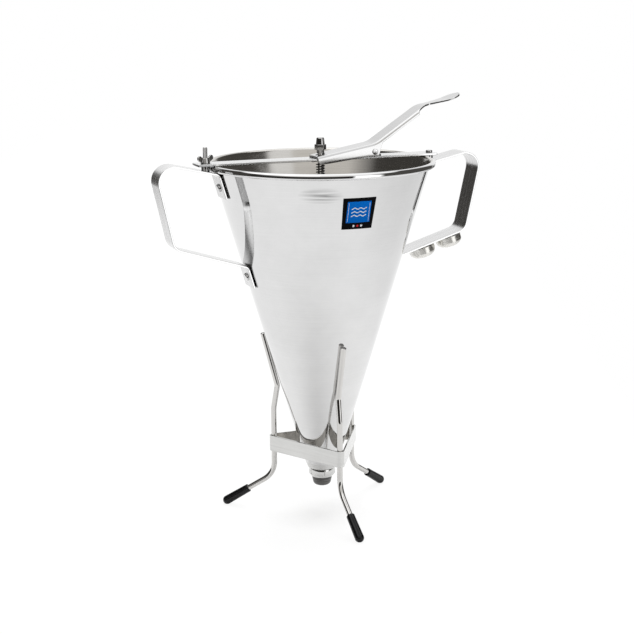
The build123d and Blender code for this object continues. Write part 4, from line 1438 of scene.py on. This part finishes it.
class SAUCE_OT_lever(PieceOperator):
    """Build the folded thumb lever, its bracket and its pivot pin"""

    bl_idname = "sauce.lever"
    bl_label = "Lever"

    def execute(self, context):
        settings = context.scene.sauce_funnel
        size, bar = settings.lever, settings.crossbar
        self.fold_lever(settings)

        top = bar.foot + bar.bar
        pivot = pivot_point(settings)
        edge, heel = settings.edges.fine, size.sheet / 2
        half, wide = size.bracket_length / 2, size.bracket_width / 2
        base = plate([(-half, -wide), (half, -wide), (half, wide), (-half, wide)], size.sheet, edge)
        shift(base, Matrix.Translation((pivot.x, 0, top)))
        for side in (1, -1):
            ear = hull([
                (pivot.x, pivot.z, size.ear_radius), (pivot.x - half + heel, top + heel, heel),
                (pivot.x + half - heel, top + heel, heel),
            ], size.sheet, edge)
            take_in(base, shift(ear, Matrix.Translation((0, side * (wide - heel), 0))))
        # The bracket gets painted shade: the dark wire colour stands in for the shadow under the lever's
        # flanges
        make_piece(
            "lever_bracket", base, "funnel", ["pivot_bracket"], "wire_finish", crease=50.0,
        )

        end = size.width / 2 + size.side_gap
        head = end + size.pin_head_height
        pin = turned([
            (0, head), (size.pin_head_radius, head), (size.pin_head_radius, end), (size.pin_radius, end),
            (size.pin_radius, -end), (size.pin_head_radius, -end), (size.pin_head_radius, -head), (0, -head),
        ], dict.fromkeys((1, 6), size.pin_head_height / 2), steps=48, closed=False)
        shift(pin, Matrix.Translation(pivot) @ LIE_DOWN)
        make_piece("lever_pin", pin, "funnel", ["pivot_pin"], "strap_brushed")
        return {"FINISHED"}

    def fold_lever(self, settings):
        """Fold the lever from one flat blank: a channel that runs out into the neck and the pad."""
        size = settings.lever
        fold = size.fold - size.sheet / 2
        web = size.width / 2 - size.fold
        turn = QUARTER_TURN - size.flare
        arc = fold * turn
        rows = [size.slot_half * part for part in SLOT_ROWS] + [(size.slot_half + web) / 2, web]
        fold_rows, skirt_rows = 5, 3
        rows += [web + arc * step / fold_rows for step in range(1, fold_rows + 1)]
        rows_up = len(rows) + skirt_rows - 1
        stations = lever_stations(settings)
        columns = len(stations) - 1
        limits = [self.blank_half(settings, x, web, fold) for x in stations]
        bm = bmesh.new()
        bmesh.ops.create_grid(bm, x_segments=columns, y_segments=2 * rows_up, size=0.5)
        holes = []
        for vert in bm.verts:
            column = round((vert.co.x + 0.5) * columns)
            row = round(vert.co.y * 2 * rows_up)
            x, limit = stations[column], limits[column]
            skirt_row = abs(row) - len(rows) + 1
            if skirt_row <= 0:
                along = rows[abs(row)] * min(1.0, limit / (web + arc))
            else:
                along = limit - max(0.0, limit - web - arc) * (1 - skirt_row / skirt_rows)
            bent = min(max(0.0, along - web), arc) / fold
            rest = max(0.0, along - web - arc)
            across = min(along, web) + fold * math.sin(bent) + rest * math.cos(turn)
            drop = fold * (1 - math.cos(bent)) + rest * math.sin(turn)
            if abs(x) == size.slot_end and across < size.slot_half + MERGE_DISTANCE:
                round_end = math.sqrt(max(0.0, size.slot_half ** 2 - across ** 2))
                x = math.copysign(size.slot_end - size.slot_half + round_end, x)
            elif x == 0.0 and across < size.slot_half - MERGE_DISTANCE:
                holes.append(vert)
            z, rise = lever_height(settings, x)
            vert.co = (x + drop * math.sin(rise), math.copysign(across, row), z - drop * math.cos(rise))
        bmesh.ops.delete(bm, geom=holes, context="VERTS")
        lever = make_piece(
            "thumb_lever", bm, "lever", ["lever"], "lever_brushed",
            crease=60.0, even=False,
        )
        thick = lever.modifiers.new("Sheet", "SOLIDIFY")
        thick.thickness = size.sheet
        thick.offset = 0.0
        thick.use_even_offset = True
        edge = lever.modifiers.new("Edges", "BEVEL")
        edge.width = size.edge
        edge.segments = 2
        edge.use_clamp_overlap = False
        edge.limit_method = "ANGLE"
        edge.angle_limit = size.edge_limit
        even_shading(lever)

    def blank_half(self, settings, x, web, fold):
        """Half the width of the lever's flat blank at a place along it."""
        size = settings.lever
        depth = skirt_depth(settings, x)
        short = size.nose_corner - size.nose - x
        if short > 0:
            depth -= size.nose_corner - math.sqrt(size.nose_corner ** 2 - short ** 2)
        half = lever_half_width(settings, x)
        if half >= web + fold:
            turn = QUARTER_TURN - size.flare
            return web + fold * turn + max(0.0, depth - fold * (1 - math.cos(turn))) / math.sin(turn)
        if half > web:
            return web + fold * math.asin((half - web) / fold)
        return half


class SAUCE_OT_piston(PieceOperator):
    """Build the rod with its valve plug, spring collar and cap nut"""

    bl_idname = "sauce.piston"
    bl_label = "Piston"

    def execute(self, context):
        settings = context.scene.sauce_funnel
        size, edges = settings.piston, settings.edges
        seat = nut_seat(settings)
        rod_top = seat + size.nut_collar_height + size.nut_thread
        ends = {1: edges.small, 2: edges.small}
        rod = round_bar(size.rod_radius, size.rod_foot, rod_top, ends, steps=48)
        make_piece("valve_rod", rod, "piston", ["piston_rod"], "drawn_finish")

        inner = size.rod_radius + size.weld_gap
        cone_foot = size.plug_foot + size.plug_tip_length
        cone_top = cone_foot + size.plug_cone
        rim_top = cone_top + size.plug_rim
        plug_top = rim_top + size.plug_shoulder
        plug = turned([
            (0, size.plug_foot), (size.plug_tip_radius, size.plug_foot), (size.plug_tip_radius, cone_foot),
            (size.plug_radius, cone_top), (size.plug_radius, rim_top), (size.plug_neck_radius, plug_top),
            (inner, plug_top), (inner, size.rod_foot), (0, size.rod_foot),
        ], {1: edges.broad, 4: edges.small, 5: edges.small}, steps=96, closed=False)
        make_piece("outlet_plug", plug, "piston", ["valve_plug"], "turned_finish")

        high = settings.crossbar.foot - size.spring_length
        low = high - size.collar_height
        ends = {1: edges.medium, 2: edges.medium}
        collar = sleeve(inner, size.collar_radius, low, high, ends, steps=64)
        make_piece("rod_collar", collar, "piston", ["spring_collar"], "turned_finish")

        ends = {1: edges.fine, 2: edges.fine}
        pin = round_bar(size.pin_radius, -size.collar_radius, size.collar_radius, ends, steps=24)
        shift(pin, Matrix.Translation((0, 0, (low + high) / 2)) @ LIE_DOWN)
        make_piece("rod_cross_pin", pin, "piston", ["collar_pin"], "plated_finish")
        self.cap_nut(settings, seat)
        return {"FINISHED"}

    def cap_nut(self, settings, seat):
        """Turned collar, a hexagon with rounded corners and a closed crown on it."""
        size = settings.piston
        foot = seat + size.nut_collar_height
        top = foot + size.nut_height
        crown_top = top + size.crown_height
        nut = bmesh.new()
        place = Matrix.Translation((0, 0, foot)) @ Matrix.Rotation(size.nut_turn + FULL_TURN / 12, 4, "Z")
        corner = size.nut_flats / math.sqrt(3)
        bmesh.ops.create_circle(nut, cap_ends=True, radius=corner, segments=6, matrix=place)
        made = bmesh.ops.extrude_face_region(nut, geom=nut.faces[:], use_keep_orig=True)["geom"]
        bmesh.ops.translate(nut, verts=only(BMVert, made), vec=UP * size.nut_height)
        bmesh.ops.recalc_face_normals(nut, faces=nut.faces[:])
        bmesh.ops.bevel(
            nut, geom=nut.edges[:], offset=size.nut_edge, segments=3, profile=0.5, affect="EDGES",
            material=-1, clamp_overlap=True,
        )
        take_in(nut, turned([
            (size.rod_radius + size.weld_gap, seat), (size.nut_collar_radius, seat),
            (size.nut_collar_radius, foot + size.nut_overlap),
        ], {1: settings.edges.small}, steps=48, closed=False))
        take_in(nut, turned([
            (size.crown_radius, top - size.nut_overlap), (size.crown_top_radius, crown_top), (0, crown_top),
        ], {1: size.crown_rounding}, steps=64, closed=False))
        make_piece("domed_nut", nut, "piston", ["cap_nut"], "plated_finish", crease=40.0)


class SAUCE_OT_spring(PieceOperator):
    """Wind the return spring: one wire with straight ends, on a mesh of its own"""

    bl_idname = "sauce.spring"
    bl_label = "Return spring"

    def execute(self, context):
        settings = context.scene.sauce_funnel
        size, bend = settings.piston, settings.piston.end_bend
        turn_steps, bend_steps, rounds = 36, 8, 20
        free = size.spring_length
        spring_foot = settings.crossbar.foot - free
        lead = 0.0
        for settling in range(rounds):
            ends = size.wire + bend * math.cos(lead)
            pitch = (free - 2 * ends) / size.turns
            lead = math.atan2(pitch, FULL_TURN * size.coil_radius)
        heading = Vector((0, math.cos(lead), math.sin(lead)))
        first = Vector((size.coil_radius, 0, spring_foot + ends))
        low = first - Vector((0, bend * (1 - math.sin(lead)), bend * math.cos(lead)))
        bm = rod_section(size.wire / 2, Matrix.Translation(low - UP * size.wire), segments=16)
        edges = push(bm, bm.edges[:], UP * size.wire)
        axis = UP.cross(heading).normalized()
        turn = UP.angle(heading)
        edges = swing(bm, edges, low + axis.cross(UP) * bend, axis, turn, bend_steps)
        lift = UP * (pitch / turn_steps)
        edges = swing(bm, edges, MIDDLE, UP, FULL_TURN * size.turns, size.turns * turn_steps, lift)
        last = first + UP * (pitch * size.turns)
        edges = swing(bm, edges, last - axis.cross(heading) * bend, -axis, turn, bend_steps)
        edges = push(bm, edges, UP * size.wire)
        bmesh.ops.edgeloop_fill(bm, edges=edges)
        spring = make_piece(
            "coil_spring", bm, "piston", ["return_spring"], "wire_finish",
            crease=60.0, even=False,
        )
        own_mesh(spring)
        return {"FINISHED"}


class SAUCE_OT_plate(PieceOperator):
    """Bend the printed plate to the front of the cone"""

    bl_idname = "sauce.plate"
    bl_label = "Printed plate"

    def execute(self, context):
        settings = context.scene.sauce_funnel
        size, funnel = settings.plate, settings.funnel
        tilt = cone_tilt(funnel)
        half = size.size / 2 * math.cos(tilt)
        back = size.gap / math.cos(tilt)
        front = back + size.sheet / math.cos(tilt)
        low, high = size.height - half, size.height + half
        low_radius, high_radius = cone_outer(funnel, low), cone_outer(funnel, high)
        bm, verts = wire([
            (low_radius + back, low), (low_radius + front, low), (high_radius + front, high),
            (high_radius + back, high),
        ])
        sweep = size.size / cone_outer(funnel, size.height)
        shift(bm, Matrix.Rotation(-QUARTER_TURN - sweep / 2, 4, "Z"))
        loop = bm.edges[:]
        last = swing(bm, loop, MIDDLE, UP, sweep, steps=32)
        bmesh.ops.edgeloop_fill(bm, edges=loop)
        bmesh.ops.edgeloop_fill(bm, edges=last)
        make_piece("front_plate", bm, "funnel", ["label_plate"], "plate_print", even=False)
        return {"FINISHED"}


class SAUCE_OT_stand(PieceOperator):
    """Bend the three legs and the band, and dip the feet in rubber"""

    bl_idname = "sauce.stand"
    bl_label = "Stand"

    def execute(self, context):
        settings = context.scene.sauce_funnel
        size = settings.stand
        line = leg_line(settings)
        bends = (size.arm_bend, size.shoulder_bend, size.knee_bend)
        place = facing(line[0], ACROSS, line[1] - line[0])
        ahead = (line[1] - line[0]).normalized() * size.end_chamfer
        narrow = 1 - size.end_chamfer / size.leg_radius

        def cut_top(face):
            """Whether a face is the cut end on top of an arm."""
            return face.normal.z > FACING and face.calc_center_median().z > line[0].z - size.end_chamfer

        for name, turn in leg_angles(size).items():
            leg = rod_section(size.leg_radius, place)
            bmesh.ops.scale(leg, verts=leg.verts[:], vec=Vector.Fill(3, narrow), space=place.inverted())
            made = bmesh.ops.extrude_edge_only(leg, edges=leg.edges[:])["geom"]
            rim = only(BMVert, made)
            bmesh.ops.scale(leg, verts=rim, vec=Vector.Fill(3, 1 / narrow), space=place.inverted())
            bmesh.ops.translate(leg, verts=rim, vec=ahead)
            loop = [e for e in only(BMEdge, made) if e.is_boundary]
            last = carry(leg, loop, [line[0] + ahead] + line[1:], bends)
            bmesh.ops.edgeloop_fill(leg, edges=last)
            shift(leg, Matrix.Rotation(turn, 4, "Z"))
            make_piece(
                "leg_" + name, leg, "stand", ["stand_leg_" + name], "drawn_finish",
                second="wire_finish", chosen=cut_top,
            )
            self.dip_foot(settings, name, turn, line)
        self.bend_band(settings)
        return {"FINISHED"}

    def dip_foot(self, settings, name, turn, line):
        """Rubber sleeve over a leg's end, with a round toe that stands flat."""
        size, edges = settings.stand, settings.edges
        inner = size.leg_radius + size.band_fit
        bm, verts = wire([
            (0, size.cap_length), (inner, size.cap_length), (inner, -size.cap_cuff),
            (size.cap_radius, -size.cap_cuff), (size.cap_radius, size.cap_start),
            (size.cap_toe, size.cap_length),
        ], closed=False)
        toe = (0, 0, size.cap_length)
        bmesh.ops.spin(bm, geom=[verts[-1]], cent=toe, axis=ACROSS, angle=-QUARTER_TURN, steps=14)
        round_corner(bm, verts[2], edges.small)
        round_corner(bm, verts[3], edges.wide)
        turn_round(bm, steps=48)
        bmesh.ops.remove_doubles(bm, verts=bm.verts[:], dist=MERGE_DISTANCE)
        foot_way = (line[-1] - line[-2]).normalized()
        shift(bm, facing(line[-1] - foot_way * size.cap_length, ACROSS, foot_way))
        cut_away(bm, MIDDLE, -UP)
        shift(bm, Matrix.Rotation(turn, 4, "Z"))
        make_piece(
            "rubber_foot_" + name, bm, "stand", ["foot_cap_" + name], "dipped_rubber",
            crease=50.0,
        )

    def bend_band(self, settings):
        """Strip bent once round the three legs."""
        size = settings.stand
        bend = size.leg_radius + size.band_fit + size.band / 2
        reach = leg_ring(settings) + 2 * bend
        height = size.band_foot + size.band_height / 2
        corners = [
            Vector((reach * math.cos(turn), reach * math.sin(turn), height))
            for turn in leg_angles(size).values()
        ]
        start = (corners[0] + corners[2]) / 2
        place = facing(start, UP, corners[0] - start)
        bm = strip_section(size.band_height, size.band, settings.edges.small, place)
        bmesh.ops.delete(bm, geom=bm.faces[:], context="FACES_ONLY")
        carry(bm, bm.edges[:], [start] + corners + [start], [bend] * 3, steps=16)
        make_piece(
            "leg_band", bm, "stand", ["stand_band"], "band_finish", crease=50.0,
            second="band_mill_finish",
        )


def between(tree, value, rise, fall):
    """1 between two soft edges, which are spans, else 0."""
    return times(tree, ramp(tree, value, rise), ramp(tree, value, fall, 1, 0))


def beyond(tree, value, fall, rise):
    """1 outside of two soft edges, which are spans, else 0."""
    return most(tree, ramp(tree, value, fall, 1, 0), ramp(tree, value, rise))


class SAUCE_OT_stage(Operator):
    """Set up the floor, the studio light and the camera"""

    bl_idname = "sauce.stage"
    bl_label = "Stage"

    # Soft edges of the studio's parts: bearings, which grow to the right from straight ahead, in degrees
    left_wall_front = (-146, -112)
    left_wall_back = (-34, -30)
    right_wall_back = (28, 36)
    right_wall_front = (114, 120)
    grey_left = (-130, -112)
    dark_left = (-112, -104)
    front_right = (145, 149)
    overhead_side = (0, 90)

    # Soft edges of the studio's parts: heights above the horizon, in degrees
    wall_top = (46, 49)
    grey_foot = (-4, 2)
    grey_top = (35, 60)
    dark_top = (10, 17)
    strip_top = (12, 20)
    overhead_foot = (46, 52)

    # Distances on the floor over which its light changes, in metres
    shade_under = (0.01, 0.06)
    shade_beside = (0.095, 0.17)
    mirrored = (0.12, 0.4)
    right_end = (0.25, 0.75)

    # How far the floor is lifted to white over these distances, and how bright it glows to its right end
    under_lift = (0.55, 0.86)
    beside_lift = (0.0, 0.14)
    mirrored_lift = (0.25, 1.0)
    right_glow = (1.04, 0.84)

    # Brightness of two dark parts beside the dark colour, and how much light overhead is left at the right
    right_wall_gain = 1.35
    dark_strip_gain = 0.45
    overhead_right = 0.25

    def execute(self, context):
        stage = context.scene.sauce_funnel.stage
        self.lay_floor(context, stage)
        self.light_studio(context, stage)
        self.hang_softbox(context, stage)
        self.place_camera(context, stage)
        context.scene.view_settings.view_transform = "Standard"
        return {"FINISHED"}

    def camera_axes(self, tree, stage, vector):
        """A vector's parts to the camera's right, ahead and up."""
        turn = add(
            tree, "ShaderNodeVectorRotate", {"rotation_type": "Z_AXIS"}, Vector=vector, Angle=stage.azimuth,
        )
        return add(tree, "ShaderNodeSeparateXYZ", Vector=turn.outputs[0]).outputs

    def lay_floor(self, context, stage):
        """Pale floor with a faint shadow near the legs, lifted to white further out and in the metal."""
        bm = bmesh.new()
        bmesh.ops.create_grid(bm, x_segments=1, y_segments=1, size=0.5)
        bmesh.ops.scale(bm, verts=bm.verts[:], vec=(stage.floor_width, stage.floor_depth, 1.0))
        bmesh.ops.translate(bm, verts=bm.verts[:], vec=ACROSS * stage.floor_back)
        shift(bm, Matrix.Rotation(-stage.azimuth, 4, "Z"))
        mesh = bpy.data.meshes.new("floor")
        bm.to_mesh(mesh)
        bm.free()
        finish = bpy.data.materials.new("floor_paper")
        finish.use_nodes = True
        tree = finish.node_tree
        shader = tree.nodes["Principled BSDF"]
        paper = grain(tree, scale=(60, 60, 60), detail=4.0)
        tint = blend_colours(tree, paper, opaque(stage.floor, gain=0.99), opaque(stage.floor, gain=1.01))
        feed(tree, shader, Base_Color=tint, Roughness=0.9, Specular_IOR_Level=0.0)
        path = add(tree, "ShaderNodeLightPath")
        to_camera, to_metal = path.outputs["Is Camera Ray"], path.outputs["Is Glossy Ray"]
        place = own_place(tree)
        right = self.camera_axes(tree, stage, place)[0]
        brightness = most(tree, ramp(tree, right, self.right_end, *self.right_glow), to_camera)
        glow = add(tree, "ShaderNodeEmission", Strength=brightness)
        away = add(tree, "ShaderNodeVectorMath", {"operation": "LENGTH"}, Vector=place).outputs["Value"]
        near = ramp(tree, away, self.shade_under, *self.under_lift)
        lift = math_node(tree, "ADD", near, ramp(tree, away, self.shade_beside, *self.beside_lift))
        metal_lift = times(tree, to_metal, ramp(tree, away, self.mirrored, *self.mirrored_lift))
        mix = tree.nodes.new("ShaderNodeMixShader")
        lifted = math_node(tree, "ADD", times(tree, to_camera, lift), metal_lift)
        for socket, value in zip(mix.inputs, (lifted, shader.outputs[0], glow.outputs[0])):
            join(tree, value, socket)
        feed(tree, tree.nodes["Material Output"], Surface=mix.outputs[0])
        mesh.materials.append(finish)
        floor = bpy.data.objects.new("floor", mesh)
        context.scene.collection.objects.link(floor)

    def light_studio(self, context, stage):
        """White studio, brighter overhead, with dark walls at both sides.

        A grey wall stands above the camera, a dark strip low behind it and a bright one low at its right.
        """
        world = bpy.data.worlds.new("studio")
        context.scene.world = world
        world.use_nodes = True
        tree = world.node_tree
        tree.nodes.clear()
        way = add(tree, "ShaderNodeTexCoord").outputs["Generated"]
        right, ahead, rise = self.camera_axes(tree, stage, way)
        bearing = math_node(tree, "DEGREES", math_node(tree, "ARCTAN2", right, ahead))
        height = math_node(tree, "DEGREES", math_node(tree, "ARCSINE", rise))
        low = ramp(tree, height, self.wall_top, 1, 0)
        left_wall = times(tree, between(tree, bearing, self.left_wall_front, self.left_wall_back), low)
        right_wall = times(tree, between(tree, bearing, self.right_wall_back, self.right_wall_front), low)
        grey_wall = times(
            tree, beyond(tree, bearing, self.grey_left, self.front_right),
            between(tree, height, self.grey_foot, self.grey_top),
        )
        dark_strip = times(
            tree, beyond(tree, bearing, self.dark_left, self.front_right),
            ramp(tree, height, self.dark_top, 1, 0),
        )
        bright_strip = times(
            tree, between(tree, bearing, self.right_wall_front, self.front_right),
            ramp(tree, height, self.strip_top, 1, 0),
        )
        overhead = times(
            tree, ramp(tree, height, self.overhead_foot),
            ramp(tree, bearing, self.overhead_side, 1, self.overhead_right),
        )
        bright = most(tree, overhead, bright_strip)
        white = add(tree, "ShaderNodeCombineXYZ")
        for socket in white.inputs:
            join(tree, ramp(tree, bright, (0, 1), 1.0, stage.softbox), socket)
        light = white.outputs[0]
        for mask, rgb, gain in (
            (grey_wall, stage.studio_mid, 1.0), (left_wall, stage.studio_dark, 1.0),
            (right_wall, stage.studio_dark, self.right_wall_gain),
            (dark_strip, stage.studio_dark, self.dark_strip_gain),
        ):
            light = blend_colours(tree, mask, light, opaque(rgb, gain))
        to_camera = add(tree, "ShaderNodeLightPath").outputs["Is Camera Ray"]
        light = blend_colours(tree, to_camera, light, (1, 1, 1, 1))
        back = add(tree, "ShaderNodeBackground", Color=light, Strength=1.0)
        add(tree, "ShaderNodeOutputWorld", Surface=back.outputs[0])

    def hang_softbox(self, context, stage):
        """Broad soft lamp above the object, behind it and to its right."""
        lamp = bpy.data.lights.new("softbox", "AREA")
        lamp.shape = "RECTANGLE"
        lamp.size, lamp.size_y = stage.lamp_width, stage.lamp_depth
        lamp.energy = stage.lamp_power
        box = bpy.data.objects.new("softbox", lamp)
        box.location = stage.lamp_place
        box.rotation_euler = (UP * stage.lamp_aim - box.location).to_track_quat("-Z", "Y").to_euler()
        box.visible_glossy = False
        context.scene.collection.objects.link(box)

    def place_camera(self, context, stage):
        """Camera where the photograph was taken from."""
        data = bpy.data.cameras.new("camera")
        data.lens = stage.lens
        data.sensor_width = 36.0
        data.clip_start, data.clip_end = 0.01, 50.0
        camera = bpy.data.objects.new("camera", data)
        context.scene.collection.objects.link(camera)
        turn = Matrix.Rotation(-stage.azimuth, 3, "Z")
        level = math.cos(stage.pitch)
        ahead = Vector((math.sin(stage.yaw) * level, math.cos(stage.yaw) * level, math.sin(stage.pitch)))
        right = Vector((math.cos(stage.yaw), -math.sin(stage.yaw), 0))
        above = right.cross(ahead)
        leaned = right * math.cos(stage.roll) + above * math.sin(stage.roll)
        above = above * math.cos(stage.roll) - right * math.sin(stage.roll)
        axes = Matrix((turn @ leaned, turn @ above, turn @ -ahead)).transposed().to_4x4()
        axes.translation = turn @ Vector((0, -stage.distance, stage.height))
        camera.matrix_world = axes
        context.scene.camera = camera


class SAUCE_PT_panel(Panel):
    """Panel in the sidebar that lists the pieces"""

    bl_label = "Sauce Funnel"
    bl_idname = "SAUCE_PT_panel"
    bl_space_type = "VIEW_3D"
    bl_region_type = "UI"
    bl_category = "Sauce Funnel"

    def draw(self, context):
        for operator in OPERATORS:
            self.layout.operator(operator.bl_idname)


PROPERTY_GROUPS = (
    EdgeSizes, FunnelSizes, OutletSizes, HandleSizes, CrossbarSizes, LeverSizes, PistonSizes, PlateSizes,
    StandSizes, Finishes, StageSettings, FunnelSettings,
)
OPERATORS = (
    SAUCE_OT_funnel, SAUCE_OT_handles, SAUCE_OT_nozzles, SAUCE_OT_crossbar, SAUCE_OT_lever, SAUCE_OT_piston,
    SAUCE_OT_spring, SAUCE_OT_plate, SAUCE_OT_stand, SAUCE_OT_stage,
)


def register():
    for group in PROPERTY_GROUPS + OPERATORS + (SAUCE_PT_panel,):
        bpy.utils.register_class(group)
    bpy.types.Scene.sauce_funnel = PointerProperty(type=FunnelSettings)


def unregister():
    del bpy.types.Scene.sauce_funnel
    for group in reversed(PROPERTY_GROUPS + OPERATORS + (SAUCE_PT_panel,)):
        bpy.utils.unregister_class(group)


def main():
    """Build every piece and the stage."""
    register()
    for operator in OPERATORS:
        family, name = operator.bl_idname.split(".")
        getattr(getattr(bpy.ops, family), name)()


if __name__ == "__main__":
    main()
